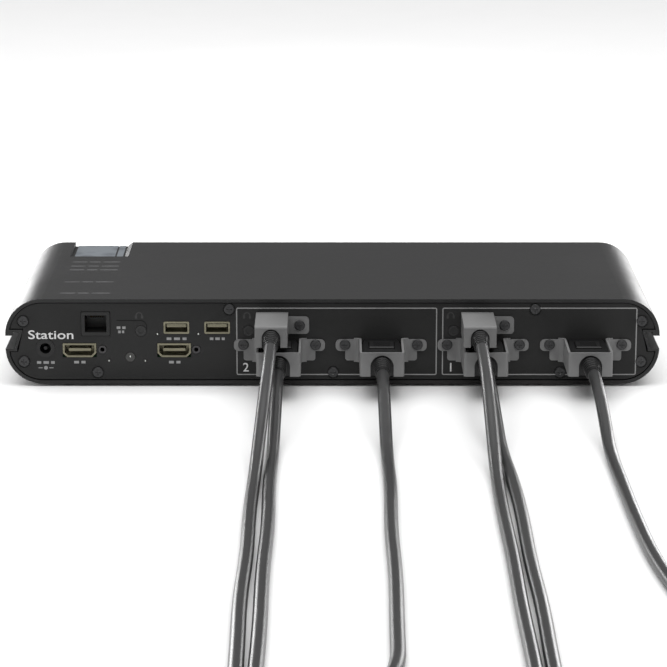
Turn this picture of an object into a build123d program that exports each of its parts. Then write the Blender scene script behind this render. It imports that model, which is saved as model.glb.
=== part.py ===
"""A two-port desktop switch for screens, keyboard and sound, as an assembly.

Millimetres, +Z up, z = 0 where the rubber feet stand. The connector panel faces -Y and the
push buttons face +Y. The origin is the middle of the footprint, from the front of the locking
brackets to the faces of the push buttons.
"""
from build123d import *
import math
import os

# ---- Case -----------------------------------------------------------------------------------
BODY_W = 368.0          # overall width of the case
BODY_D = 150.0          # overall depth of the case
BODY_H = 49.1           # overall height of the case without its feet
CORNER_R = 20.8         # radius of the rounded ends
WALL = 2.0              # wall of both shells
END_INSET = 0.6         # both end plates sit this far inside the shell rims
RIM_GAP = 0.5           # shadow gap round both end plates
PANEL_T = 1.6           # sheet of the connector panel
BEZEL_T = 3.0           # plate that carries the push buttons
FOOT_H = 1.5
FOOT_R = 8.0
FOOT_INSET_X = 40.0
FOOT_INSET_Y = 24.0     # in from both end rims

# ---- Label recess in the roof ------------------------------------------------------------------
LABEL_X = (-157.2, -122.3)
LABEL_FLOOR_X = -125.2  # the right-hand wall of the recess is slanted down to here
LABEL_DEPTH = 2.1
LABEL_L = 40.0          # length of the recess, open at the button side
LABEL_BED = 1.4         # roof left under the recess
LABEL_EDGE = 2.0        # bare margin at both ends of the label
LABEL_T = 0.3
LABEL_STRIP_W = 3.8     # separate strip beside the label

# ---- Grip slot along both sides, heights above the underside of the case ---------------------
SLOT_LOW = 20.4         # floor of the slot
SLOT_HIGH = 28.0        # lower edge of the lip
POCKET_TOP = 30.0       # roof of the pocket behind the lip
SLOT_FLOOR_DEPTH = 5.1
SLOT_ROOF_DEPTH = 8.2
LIP_T = 4.0
SLOT_WALL = 1.4

# ---- Clearances ------------------------------------------------------------------------------
FIT = 0.2               # between fixed pieces that pass through each other
MOVE = 0.3              # between a moving piece and what it moves in
HOLE_FIT = 0.1          # screw shank to hole, on the radius

# ---- Screws ----------------------------------------------------------------------------------
SHANK_R = 1.25
HEAD_R = 3.0
HEAD_H = 1.1
DIMPLE_R = 3.6          # sunk ring round each panel screw
DIMPLE_D = 0.5
CROSS_L = 3.2
CROSS_W = 0.7
CROSS_D = 0.6
BOSS = 8.0              # width of a screw block
BOSS_L = 10.0           # length of a screw block
END_SCREW_SIDE = 10.2   # corner screws, in from the side of the case
END_SCREW_LOW = 12.9    # corner screws, up from the underside
END_SCREW_HIGH = 12.8   # corner screws, down from the top
ROW_SCREW_LOW = 6.6
ROW_SCREW_HIGH = 5.9
LOW_SCREW_X = (-132.3, 0.4, 128.5)
HIGH_SCREW_X = (-57.9, 113.8)
POST_R = 3.5            # posts that join the two shells
POST_SIDE = 25.0
POST_END = 18.0
POST_FLOOR = 6.0        # height of the bottom shell's post seat
SINK_D = 3.0            # counterbore for a case screw
SINK_R = 3.3

# ---- Boards ----------------------------------------------------------------------------------
BOARD_T = 1.6
BOARD_SIDE = 31.0       # lower board, in from each side of the case
BOARD_L = 100.0         # far edge of the lower board, from the rear rim
BOARD_GAP = 1.0         # boards start this far behind the panel
UPPER_X = (-145.0, 112.0)
UPPER_L = 57.0          # far edge of the upper board, from the rear rim
STANDOFF_ROW = 40.0     # row of standoffs, from the rear rim
STANDOFF_X = (-138.0, -52.0, 54.0, 100.0)
LOW_SCREW_ROW = 90.0    # row of lower board screws, from the rear rim
BOARD_SCREW_X = (-138.0, -52.0, 54.0, 138.0)
STANDOFF_R = 2.6
BOARD_POST_R = 3.0

# ---- Connectors: widths, heights and places along the panel ------------------------------------
VIDEO_Z = 19.5          # axis of the video sockets above the underside
VIDEO_W = 18.8
VIDEO_H = 8.0
VIDEO_CUT = 2.4         # cut lower corners of a video socket
SHELL_T = 1.0
SOCKET_DEPTH = 13.0
CONSOLE_VIDEO_X = (-142.4, -89.1)
COMPUTER_VIDEO_X = (-29.8, 27.4, 84.8, 142.4)
USB_DROP = 16.5         # axis of the upper row of sockets below the top of the case
USB_X = (-87.7, -64.8)
USB_W = 14.4
USB_H = 7.0
PERIPHERAL_DROP = 14.5
PERIPHERAL_X = (-33.8, 81.3)
PERIPHERAL_W = 11.4
PERIPHERAL_H = 10.6
UPPER_BOARD_DROP = 21.1
REMOTE_X = -133.1
REMOTE_W = 16.0
REMOTE_H = 13.6
REMOTE_RIM = 1.9
AUDIO_DROP = 18.4
AUDIO_X = (-107.7, -47.2, 68.2)
AUDIO_R = 3.0
DC_X = -161.6
DC_Z = 20.6
DC_R = 4.6
DC_L = 13.0
DC_NUT_RIM = 1.6
LOCK_X = (-129.5, -76.7)
LOCK_Z = 19.9
LOCK_R = 2.3
LOCK_L = 8.0
PIPE_R = 0.9
PIPE_PLACES = ((-125.9, 13.4), (-105.5, 13.4), (-98.4, 28.9), (-75.4, 28.9))
LENS_X = -113.9
LENS_Z = 15.5
LENS_R = 2.7

# ---- Front controls ----------------------------------------------------------------------------
BUTTON_X = (-22.0, 22.0)
BUTTON_W = 14.0
BUTTON_H = 10.0
BUTTON_R = 2.4
BUTTON_PROUD = 1.5
BUTTON_TRAVEL = 1.2
FLANGE = 1.5
FRONT_BOARD_GAP = 8.0
FRONT_BOARD_W = 92.0
FRONT_BOARD_H = 26.0
SWITCH_SIZE = 6.0
SWITCH_H = 3.5
FRONT_PIPE_RISE = 10.0
FRONT_PIPE_R = 1.2

# ---- Locking brackets --------------------------------------------------------------------------
SHEET = 1.2
REACH = 33.5            # panel to the front of each bracket
VIDEO_BRACKET_W = 24.6
VIDEO_BRACKET_Z = (13.0, 26.6)
VIDEO_ARCH_R = 6.4
VIDEO_ARCH_Z = 18.6
EAR_IN = 15.3
EAR_OUT = 25.6
EAR_Z = (13.8, 25.9)
EAR_STEP_X = 20.2
EAR_STEP_Z = 19.3
EAR_SCREW_X = 20.35
EAR_SCREW_Z = 23.0
BEND_R = 2.2
SMALL_BRACKET_W = 18.0
SMALL_BRACKET_Z = (-5.1, 6.9)     # this and the next heights from the peripheral plugs' axis
SMALL_ARCH_R = 5.15
SMALL_ARCH_Z = 0.05
SMALL_EAR_X = (9.3, 20.7)
SMALL_EAR_Z = (-5.4, 4.5)
SMALL_SCREW = (15.4, -0.4)

# ---- Plugs and cords ---------------------------------------------------------------------------
PLUG_L = 31.8           # panel to the back of a plug's grip
VIDEO_PLUG_W = 21.0
VIDEO_PLUG_H = 13.0
PERIPHERAL_PLUG_W = 14.6
PERIPHERAL_PLUG_H = 9.8
FAR_USB_W = 15.6
FAR_USB_H = 8.2
TIP_W = 12.0
TIP_H = 4.5
TIP_L = 12.0
RELIEF_L = 22.0
RELIEF_R = 4.4
RELIEF_END_R = 3.6
LATCH = 14.0            # side of the square latch button
LATCH_FROM = 8.0        # its near edge from the panel
LATCH_PROUD = 1.0
LATCH_TRAVEL = 0.8
LATCH_POCKET = 3.2
CORD_D = 6.8
COIL_OUT = 44.3         # centre line of the outer turn
COIL_IN = 30.7          # centre line of the inner turn
COIL_LAYERS = 2
STUB = 26.0             # straight stretch before a coil
TAIL_R = 28.0           # bend of the tail that lies over a coil
TAIL_TURN = 115.0

# ---- Worked out --------------------------------------------------------------------------------
UNDER = FOOT_H
TOP = UNDER + BODY_H
SIDE = BODY_W / 2
REAR_Y = -(BODY_D - REACH + BUTTON_PROUD) / 2
FRONT_Y = REAR_Y + BODY_D
MID_Y = (REAR_Y + FRONT_Y) / 2
PANEL_Y = REAR_Y + END_INSET
PANEL_IN = PANEL_Y + PANEL_T
BEZEL_Y = FRONT_Y - END_INSET
BEZEL_IN = BEZEL_Y - BEZEL_T
MID_Z = UNDER + BODY_H / 2
LOW_BOARD_Z = UNDER + VIDEO_Z - VIDEO_H / 2
UP_BOARD_Z = TOP - UPPER_BOARD_DROP
VIDEO_AXIS = UNDER + VIDEO_Z
USB_AXIS = TOP - USB_DROP
PERIPHERAL_AXIS = TOP - PERIPHERAL_DROP
REMOTE_AXIS = UP_BOARD_Z + REMOTE_H / 2
AUDIO_AXIS = TOP - AUDIO_DROP
BOARD_REAR_Y = PANEL_IN + BOARD_GAP
BOARD_FRONT_Y = REAR_Y + BOARD_L
UPPER_FRONT_Y = REAR_Y + UPPER_L
STANDOFF_Y = REAR_Y + STANDOFF_ROW
LOW_SCREW_Y = REAR_Y + LOW_SCREW_ROW
CORD_R = CORD_D / 2
COIL_H = COIL_LAYERS * CORD_D


# ---- Shared shapes -----------------------------------------------------------------------------
def rect(x0, x1, z0, z1):
    """Rectangle between two corners, in a flat sketch."""
    return Pos((x0 + x1) / 2, (z0 + z1) / 2) * Rectangle(x1 - x0, z1 - z0)


def block(x0, x1, y0, y1, z0, z1):
    """Box between two corners."""
    centre = Pos((x0 + x1) / 2, (y0 + y1) / 2, (z0 + z1) / 2)
    return centre * Box(x1 - x0, y1 - y0, z1 - z0)


def slab(sketch, y0, y1):
    """An X-Z outline, extruded from y0 to y1."""
    plane = Plane(origin=(0, y1, 0), x_dir=(1, 0, 0), z_dir=(0, -1, 0))
    return extrude(plane * sketch, y1 - y0, dir=(0, -1, 0))


def rod_y(x, z, radius, y0, y1):
    """Round bar along Y."""
    return slab(Pos(x, z) * Circle(radius), y0, y1)


def rod_z(x, y, radius, z0, z1):
    """Round bar along Z."""
    return Pos(x, y, (z0 + z1) / 2) * Cylinder(radius, z1 - z0)


def joined(shapes):
    """All the shapes as one."""
    total = shapes[0]
    for shape in shapes[1:]:
        total = total + shape
    return total


def both_sides(sketch):
    """A sketch and its mirror image across x = 0."""
    return sketch + mirror(sketch, Plane.YZ)


def rounded(x0, x1, z0, z1, radius):
    """Rectangle with round corners between two corners."""
    centre = Pos((x0 + x1) / 2, (z0 + z1) / 2)
    return centre * RectangleRounded(x1 - x0, z1 - z0, radius)


def cross_recess(radius_l, width, depth):
    """Cutter for a cross-head recess, its mouth at z = 0 and cut downwards."""
    arm = Pos(0, 0, -depth / 2) * Box(radius_l, width, depth)
    return arm + Rot(0, 0, 90) * arm


def screw(length):
    """Pan-head screw along Z: head above z = 0, shank below."""
    head = Pos(0, 0, HEAD_H / 2) * Cylinder(HEAD_R, HEAD_H)
    head = fillet(head.edges().group_by(Axis.Z)[-1], HEAD_H * 0.45)
    shank = Pos(0, 0, -length / 2) * Cylinder(SHANK_R, length)
    return head + shank - Pos(0, 0, HEAD_H) * cross_recess(CROSS_L, CROSS_W, CROSS_D)


FACING_REAR = Rot(90, 0, 0)      # turns a screw's head towards -Y
FACING_FRONT = Rot(-90, 0, 0)    # turns it towards +Y
FACING_DOWN = Rot(180, 0, 0)


# ---- Case profiles -----------------------------------------------------------------------------
def outline(inset=0.0):
    """Outline of the case seen from an end plate, moved in by inset."""
    corner = min(CORNER_R, 0.45 * BODY_H) - inset
    outer = RectangleRounded(BODY_W - 2 * inset, BODY_H - 2 * inset, corner)
    return Pos(0, MID_Z) * outer


def top_profile():
    """Section of the top shell: roof, round flanks, lips and the pocket roofs."""
    ring = outline() - outline(WALL)
    upper = rect(-BODY_W, BODY_W, UNDER + SLOT_HIGH, TOP + WALL)
    lip = rect(SIDE - LIP_T, SIDE, UNDER + SLOT_HIGH, UNDER + POCKET_TOP)
    roof_in = SIDE - SLOT_ROOF_DEPTH - SLOT_WALL
    roof = rect(roof_in, SIDE - WALL / 2, UNDER + POCKET_TOP, UNDER + POCKET_TOP + SLOT_WALL)
    return (ring & upper) + both_sides((lip + roof) & outline())


def bottom_profile():
    """Section of the bottom shell: tray, slot floors and the slanted slot walls."""
    ring = outline() - outline(WALL)
    lower = rect(-BODY_W, BODY_W, UNDER - WALL, UNDER + SLOT_LOW)
    floor_in = SIDE - SLOT_FLOOR_DEPTH - SLOT_WALL
    floor = rect(floor_in, SIDE, UNDER + SLOT_LOW - SLOT_WALL, UNDER + SLOT_LOW)
    wall = Polygon(
        (SIDE - SLOT_FLOOR_DEPTH, UNDER + SLOT_LOW),
        (SIDE - SLOT_ROOF_DEPTH, UNDER + POCKET_TOP),
        (SIDE - SLOT_ROOF_DEPTH - SLOT_WALL, UNDER + POCKET_TOP),
        (floor_in, UNDER + SLOT_LOW),
        align=None,
    )
    return (ring & lower) + both_sides((floor & outline()) + wall)


def end_outline():
    """Outline of both end plates: the case's inside, less the grip slots."""
    floor_in = SIDE - SLOT_FLOOR_DEPTH - SLOT_WALL - RIM_GAP
    roof_in = SIDE - SLOT_ROOF_DEPTH - SLOT_WALL - RIM_GAP
    notch = Polygon(
        (SIDE + WALL, UNDER + SLOT_LOW - SLOT_WALL - RIM_GAP),
        (floor_in, UNDER + SLOT_LOW - SLOT_WALL - RIM_GAP),
        (roof_in, UNDER + POCKET_TOP + SLOT_WALL + RIM_GAP),
        (SIDE + WALL, UNDER + POCKET_TOP + SLOT_WALL + RIM_GAP),
        align=None,
    )
    return outline(WALL + RIM_GAP) - both_sides(notch)


def corner_screws():
    """The four screws that both end plates have near the sides."""
    x = SIDE - END_SCREW_SIDE
    return [(s * x, z) for s in (-1, 1) for z in (UNDER + END_SCREW_LOW, TOP - END_SCREW_HIGH)]


def rear_screws():
    """All the screws of the connector panel."""
    low = [(x, UNDER + ROW_SCREW_LOW) for x in LOW_SCREW_X]
    high = [(x, TOP - ROW_SCREW_HIGH) for x in HIGH_SCREW_X]
    return corner_screws() + low + high


def screw_block(x, z):
    """Outline of the block that takes one end screw, out to the nearest shell wall."""
    half = BOSS / 2
    if abs(x) > SIDE - END_SCREW_SIDE - half:
        reach = sorted((x - math.copysign(half, x), math.copysign(SIDE, x)))
        return rect(reach[0], reach[1], z - half, z + half) & outline(WALL / 2)
    if z > MID_Z:
        return rect(x - half, x + half, z - half, TOP) & outline(WALL / 2)
    return rect(x - half, x + half, UNDER, z + half) & outline(WALL / 2)


def end_blocks(upper):
    """Screw blocks of one shell, with their pilot holes."""
    blocks = []
    ends = ((rear_screws(), PANEL_IN, PANEL_IN + BOSS_L), (corner_screws(), BEZEL_IN - BOSS_L, BEZEL_IN))
    for places, y0, y1 in ends:
        for x, z in places:
            if (z > MID_Z) == upper:
                body = slab(screw_block(x, z), y0, y1)
                blocks.append(body - rod_y(x, z, SHANK_R + HOLE_FIT, y0 - 1, y1 + 1))
    return blocks


def post_places():
    """Where the two shells are screwed together."""
    x = SIDE - POST_SIDE
    y = BODY_D / 2 - POST_END
    return [(i * x, MID_Y + j * y) for i in (-1, 1) for j in (-1, 1)]


# ---- Case --------------------------------------------------------------------------------------
def label_recess(grow):
    """Section of the label recess, grown outwards."""
    return Polygon(
        (LABEL_X[0] - grow, TOP + WALL),
        (LABEL_X[0] - grow, TOP - LABEL_DEPTH - grow),
        (LABEL_FLOOR_X + grow, TOP - LABEL_DEPTH - grow),
        (LABEL_X[1] + grow, TOP),
        (LABEL_X[1] + grow, TOP + WALL),
        align=None,
    )


def top_shell():
    shell = slab(top_profile(), REAR_Y, FRONT_Y)
    bed = label_recess(LABEL_BED) & outline(WALL / 2)
    shell = shell + slab(bed, FRONT_Y - LABEL_L - LABEL_BED, BEZEL_IN)
    shell = joined([shell] + end_blocks(True))
    for x, y in post_places():
        post = rod_z(x, y, POST_R, UNDER + POST_FLOOR, TOP - WALL / 2)
        shell = shell + (post - rod_z(x, y, SHANK_R + HOLE_FIT, UNDER, UNDER + POST_FLOOR + 14))
    return shell - slab(label_recess(0.0), FRONT_Y - LABEL_L, FRONT_Y + WALL)


def bottom_shell():
    shell = slab(bottom_profile(), REAR_Y, FRONT_Y)
    shell = joined([shell] + end_blocks(False))
    for x, y in post_places():
        shell = shell + rod_z(x, y, SINK_R + WALL, UNDER + WALL / 2, UNDER + POST_FLOOR)
    for x, y in board_posts():
        shell = shell + rod_z(x, y, BOARD_POST_R, UNDER + WALL / 2, LOW_BOARD_Z - BOARD_T)
    for x, y in board_posts():
        shell = shell - rod_z(x, y, SHANK_R + HOLE_FIT, UNDER + 2 * WALL, LOW_BOARD_Z)
    for x, y in post_places():
        shell = shell - rod_z(x, y, SINK_R, UNDER - 1, UNDER + SINK_D)
        shell = shell - rod_z(x, y, SHANK_R + HOLE_FIT, UNDER, UNDER + POST_FLOOR + 1)
    return shell


def seal_label():
    """Printed film in the roof's recess, with a separate strip beside it."""
    y0 = FRONT_Y - LABEL_L + LABEL_EDGE
    y1 = FRONT_Y - LABEL_EDGE
    z = TOP - LABEL_DEPTH
    strip_x1 = LABEL_FLOOR_X - LABEL_EDGE / 2
    strip_x0 = strip_x1 - LABEL_STRIP_W
    main = block(LABEL_X[0] + LABEL_EDGE, strip_x0 - LABEL_EDGE / 2, y0, y1, z, z + LABEL_T)
    return Compound([main, block(strip_x0, strip_x1, y0, y1, z, z + LABEL_T)])


def rubber_feet():
    x = SIDE - FOOT_INSET_X
    y = BODY_D / 2 - FOOT_INSET_Y
    places = [(i * x, MID_Y + j * y) for i in (-1, 1) for j in (-1, 1)]
    return Compound([rod_z(px, py, FOOT_R, 0, FOOT_H) for px, py in places])


def panel_screws():
    length = PANEL_T - DIMPLE_D + 8
    rear = [Pos(x, PANEL_Y + DIMPLE_D, z) * FACING_REAR * screw(length) for x, z in rear_screws()]
    front = [Pos(x, BEZEL_Y - DIMPLE_D, z) * FACING_FRONT * screw(length) for x, z in corner_screws()]
    return Compound(rear + front)


def case_screws():
    places = post_places()
    return Compound([Pos(x, y, UNDER + SINK_D) * FACING_DOWN * screw(POST_FLOOR + 8) for x, y in places])


# ---- Connectors --------------------------------------------------------------------------------
def video_outline(inset):
    """Video socket outline: a flat box with cut lower corners, round (0, 0)."""
    w = VIDEO_W / 2 - inset
    h = VIDEO_H / 2 - inset
    cut = max(VIDEO_CUT - 0.6 * inset, 0.2)
    return Polygon((-w, h), (w, h), (w, cut - h), (w - cut, -h), (cut - w, -h), (-w, cut - h), align=None)


def video_socket(x):
    """Metal shell, tongue and back block of one video socket."""
    place = Pos(x, VIDEO_AXIS)
    y0 = PANEL_Y - 0.4
    ring = slab(place * (video_outline(0) - video_outline(SHELL_T)), y0, PANEL_Y + SOCKET_DEPTH)
    back = slab(place * video_outline(0), PANEL_Y + 9, PANEL_Y + SOCKET_DEPTH)
    tongue = block(x - 6.2, x + 6.2, PANEL_Y + 1.2, PANEL_Y + 10, VIDEO_AXIS - 0.8, VIDEO_AXIS + 0.8)
    return ring + back + tongue


def usb_socket(x):
    """Flared shell, tongue and back block of one flat four-pin socket."""
    w = USB_W / 2
    h = USB_H / 2
    z = USB_AXIS
    flare = rounded(x - w, x + w, z - h, z + h, 0.8) - rect(x - w + 1, x + w - 1, z - h + 1, z + h - 1)
    body = rect(x - w + 0.5, x + w - 0.5, z - h + 0.5, z + h - 0.5)
    bore = rect(x - w + 1, x + w - 1, z - h + 1, z + h - 1)
    shell = slab(flare, PANEL_Y - 0.5, PANEL_Y) + slab(body - bore, PANEL_Y, PANEL_Y + 14)
    back = block(x - w + 0.5, x + w - 0.5, PANEL_Y + 11, PANEL_Y + 14, UP_BOARD_Z, z + h - 0.5)
    tongue = block(x - 5.4, x + 5.4, PANEL_Y + 0.6, PANEL_Y + 12, z + 0.1, z + 1.9)
    return shell + back + tongue


def peripheral_socket(x):
    """Square-bodied socket of one computer's keyboard and mouse lead."""
    w = PERIPHERAL_W / 2
    h = PERIPHERAL_H / 2
    z = PERIPHERAL_AXIS
    ring = rect(x - w, x + w, z - h, z + h) - rect(x - 4.4, x + 4.4, z - 4.0, z + 4.0)
    shell = slab(ring, PANEL_Y - 0.2, PANEL_Y + 15)
    back = block(x - w, x + w, PANEL_Y + 11, PANEL_Y + 15, UP_BOARD_Z, z + h)
    tongue = block(x - 2.7, x + 2.7, PANEL_Y + 1.2, PANEL_Y + 12, z - 1.6, z + 1.6)
    return shell + back + tongue


def remote_port():
    """Eight-contact jack with a raised rim and a keyed mouth."""
    w = REMOTE_W / 2
    z0 = UP_BOARD_Z
    z1 = UP_BOARD_Z + REMOTE_H
    mouth = rect(REMOTE_X - w + REMOTE_RIM, REMOTE_X + w - REMOTE_RIM, z0 + REMOTE_RIM, z1 - REMOTE_RIM)
    body = slab(rounded(REMOTE_X - w, REMOTE_X + w, z0, z1, 0.8), PANEL_Y - 0.5, PANEL_Y + 15)
    return body - slab(mouth, PANEL_Y - 1, PANEL_Y + 12)


def audio_jacks():
    """Round jacks, each closed by a press-in blank with a dimple."""
    jacks = []
    for x in AUDIO_X:
        nose = rod_y(x, AUDIO_AXIS, AUDIO_R, PANEL_Y - 0.3, BOARD_REAR_Y)
        body = block(x - 3.4, x + 3.4, BOARD_REAR_Y, BOARD_REAR_Y + 12, UP_BOARD_Z, AUDIO_AXIS + 3.2)
        jacks.append(nose + body - rod_y(x, AUDIO_AXIS, 1.5, PANEL_Y - 1, PANEL_Y + 0.1))
    return Compound(jacks)


def dc_jack():
    z = UNDER + DC_Z
    barrel = rod_y(DC_X, z, DC_R, PANEL_Y - 0.6, PANEL_Y + DC_L)
    collar = rod_y(DC_X, z, DC_R + 0.6, PANEL_Y - 0.6, PANEL_Y)
    nut = rod_y(DC_X, z, DC_R + DC_NUT_RIM, PANEL_IN, PANEL_IN + 2.2)
    pin = rod_y(DC_X, z, 1.0, PANEL_Y + 0.5, PANEL_Y + 11)
    return barrel + collar + nut - rod_y(DC_X, z, 3.1, PANEL_Y - 1, PANEL_Y + 10) + pin


def lock_bushes():
    """Threaded bushes beside the console's video sockets."""
    bushes = []
    for x in LOCK_X:
        ring = Pos(x, UNDER + LOCK_Z) * (Circle(LOCK_R) - Circle(SHANK_R))
        bushes.append(slab(ring, PANEL_Y - 0.4, PANEL_Y - 0.4 + LOCK_L))
    return Compound(bushes)


def light_pipes():
    """Clear pipes from the boards to both end plates, and the round status lens."""
    pipes = [rod_y(x, UNDER + z, PIPE_R, PANEL_Y - 0.2, PANEL_IN + 0.8) for x, z in PIPE_PLACES]
    pipes.append(rod_y(LENS_X, UNDER + LENS_Z, LENS_R, PANEL_Y - 0.3, PANEL_IN + 0.8))
    for x in BUTTON_X:
        pipes.append(rod_y(x, MID_Z + FRONT_PIPE_RISE, FRONT_PIPE_R, BEZEL_IN - FRONT_BOARD_GAP, BEZEL_Y + 0.2))
    return Compound(pipes)


def rear_panel():
    panel = slab(end_outline(), PANEL_Y, PANEL_IN)
    w = VIDEO_W / 2 + FIT
    h = VIDEO_H / 2 + FIT
    z = VIDEO_AXIS
    cuts = [rect(x - w, x + w, z - h, z + h) for x in CONSOLE_VIDEO_X + COMPUTER_VIDEO_X]
    w = USB_W / 2 - 0.5 + FIT
    h = USB_H / 2 - 0.5 + FIT
    cuts += [rect(x - w, x + w, USB_AXIS - h, USB_AXIS + h) for x in USB_X]
    w = PERIPHERAL_W / 2 + FIT
    h = PERIPHERAL_H / 2 + FIT
    z = PERIPHERAL_AXIS
    cuts += [rect(x - w, x + w, z - h, z + h) for x in PERIPHERAL_X]
    w = REMOTE_W / 2 + FIT
    h = REMOTE_H / 2 + FIT
    cuts.append(rect(REMOTE_X - w, REMOTE_X + w, REMOTE_AXIS - h, REMOTE_AXIS + h))
    cuts += [Pos(x, AUDIO_AXIS) * Circle(AUDIO_R + FIT) for x in AUDIO_X]
    cuts.append(Pos(DC_X, UNDER + DC_Z) * Circle(DC_R + FIT))
    cuts += [Pos(x, UNDER + LOCK_Z) * Circle(LOCK_R + FIT) for x in LOCK_X]
    cuts += [Pos(x, UNDER + z) * Circle(PIPE_R + FIT) for x, z in PIPE_PLACES]
    cuts.append(Pos(LENS_X, UNDER + LENS_Z) * Circle(LENS_R + FIT))
    cuts += [Pos(x, z) * Circle(SHANK_R + HOLE_FIT) for x, z in rear_screws() + bracket_screw_places()]
    for cut in cuts:
        panel = panel - slab(cut, PANEL_Y - 1, PANEL_IN + 1)
    for x, z in rear_screws():
        panel = panel - rod_y(x, z, DIMPLE_R, PANEL_Y - 1, PANEL_Y + DIMPLE_D)
    return panel


# ---- Boards ------------------------------------------------------------------------------------
def board_posts():
    """Where the lower board rests on the bottom shell."""
    return [(x, STANDOFF_Y) for x in STANDOFF_X] + [(x, LOW_SCREW_Y) for x in BOARD_SCREW_X]


def lower_board():
    x = SIDE - BOARD_SIDE
    board = block(-x, x, BOARD_REAR_Y, BOARD_FRONT_Y, LOW_BOARD_Z - BOARD_T, LOW_BOARD_Z)
    jack_side = DC_R + DC_NUT_RIM + BOARD_GAP
    board = board - block(DC_X - jack_side, DC_X + jack_side, BOARD_REAR_Y - 1, PANEL_Y + DC_L + BOARD_GAP,
                          LOW_BOARD_Z - BOARD_T - 1, LOW_BOARD_Z + 1)
    for px, py in board_posts():
        board = board - rod_z(px, py, SHANK_R + HOLE_FIT, LOW_BOARD_Z - 3, LOW_BOARD_Z + 1)
    return board


def upper_board():
    board = block(UPPER_X[0], UPPER_X[1], BOARD_REAR_Y, UPPER_FRONT_Y, UP_BOARD_Z - BOARD_T, UP_BOARD_Z)
    for x in STANDOFF_X:
        board = board - rod_z(x, STANDOFF_Y, SHANK_R + HOLE_FIT, UP_BOARD_Z - 3, UP_BOARD_Z + 1)
    return board


def board_standoffs():
    """Pillars between the boards: a stud below, a threaded hole above."""
    pillars = []
    for x in STANDOFF_X:
        pillar = rod_z(x, STANDOFF_Y, STANDOFF_R, LOW_BOARD_Z, UP_BOARD_Z - BOARD_T)
        stud = rod_z(x, STANDOFF_Y, SHANK_R, LOW_BOARD_Z - BOARD_T - 4, LOW_BOARD_Z)
        hole = rod_z(x, STANDOFF_Y, SHANK_R + HOLE_FIT, UP_BOARD_Z - BOARD_T - 6, UP_BOARD_Z)
        pillars.append(pillar + stud - hole)
    return Compound(pillars)


def board_screws():
    low = [Pos(x, LOW_SCREW_Y, LOW_BOARD_Z) * screw(6) for x in BOARD_SCREW_X]
    high = [Pos(x, STANDOFF_Y, UP_BOARD_Z) * screw(6) for x in STANDOFF_X]
    return Compound(low + high)


CHIPS = (            # centre x, distance from the rear rim, side, height, on the lower board
    (-95.0, 63.0, 20.0, 1.8),
    (-20.0, 67.0, 24.0, 2.2),
    (30.0, 67.0, 24.0, 2.2),
    (92.0, 77.0, 14.0, 1.6),
)
UPPER_CHIPS = ((-90.0, 43.0, 12.0, 1.4), (10.0, 43.0, 14.0, 1.4), (78.0, 41.0, 10.0, 1.4))
CELL = (-118.0, 81.0)   # x and distance from the rear rim
CELL_R = 10.0
CELL_H = 3.2


def board_chips():
    chips = []
    for z, group in ((LOW_BOARD_Z, CHIPS), (UP_BOARD_Z, UPPER_CHIPS)):
        for x, distance, side, height in group:
            y = REAR_Y + distance
            chips.append(block(x - side / 2, x + side / 2, y - side / 2, y + side / 2, z, z + height))
    return Compound(chips)


def coin_cell_holder():
    x, y = CELL[0], REAR_Y + CELL[1]
    r = CELL_R + 2
    holder = rod_z(x, y, r, LOW_BOARD_Z, LOW_BOARD_Z + 1.2 + CELL_H * 0.8)
    return holder - rod_z(x, y, CELL_R + FIT, LOW_BOARD_Z + 1.2, LOW_BOARD_Z + 9)


def coin_cell():
    z = LOW_BOARD_Z + 1.2
    return rod_z(CELL[0], REAR_Y + CELL[1], CELL_R, z, z + CELL_H)


def front_board():
    y1 = BEZEL_IN - FRONT_BOARD_GAP
    w = FRONT_BOARD_W / 2
    h = FRONT_BOARD_H / 2
    return block(-w, w, y1 - BOARD_T, y1, MID_Z - h, MID_Z + h)


def tact_switches():
    y = BEZEL_IN - FRONT_BOARD_GAP
    h = SWITCH_SIZE / 2
    return Compound([block(x - h, x + h, y, y + SWITCH_H, MID_Z - h, MID_Z + h) for x in BUTTON_X])


def ribbon_cable():
    """Flat cable from the lower board up the back of the front board."""
    half = 9.0
    y = BEZEL_IN - FRONT_BOARD_GAP - BOARD_T
    z = LOW_BOARD_Z
    flat = block(-half, half, BOARD_FRONT_Y - 8, y, z, z + 0.8)
    rise = block(-half, half, y - 0.8, y, z, MID_Z + 6)
    return flat + rise


# ---- Front controls ----------------------------------------------------------------------------
def front_bezel():
    bezel = slab(end_outline(), BEZEL_IN, BEZEL_Y)
    w = BUTTON_W / 2 + MOVE
    h = BUTTON_H / 2 + MOVE
    for x in BUTTON_X:
        hole = rounded(x - w, x + w, MID_Z - h, MID_Z + h, BUTTON_R + MOVE)
        bezel = bezel - slab(hole, BEZEL_IN - 1, BEZEL_Y + 1)
        pipe = rod_y(x, MID_Z + FRONT_PIPE_RISE, FRONT_PIPE_R + FIT, BEZEL_IN - 1, BEZEL_Y + 1)
        bezel = bezel - pipe
    for x, z in corner_screws():
        bezel = bezel - rod_y(x, z, SHANK_R + HOLE_FIT, BEZEL_IN - 1, BEZEL_Y + 1)
        bezel = bezel - rod_y(x, z, DIMPLE_R, BEZEL_Y - DIMPLE_D, BEZEL_Y + 1)
    w = FRONT_BOARD_W / 2 - 5
    h = FRONT_BOARD_H / 2 - 5
    for x, z in ((-w, -h), (-w, h), (w, -h), (w, h)):
        bezel = bezel + rod_y(x, MID_Z + z, 2.5, BEZEL_IN - FRONT_BOARD_GAP, BEZEL_IN)
    return bezel


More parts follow.
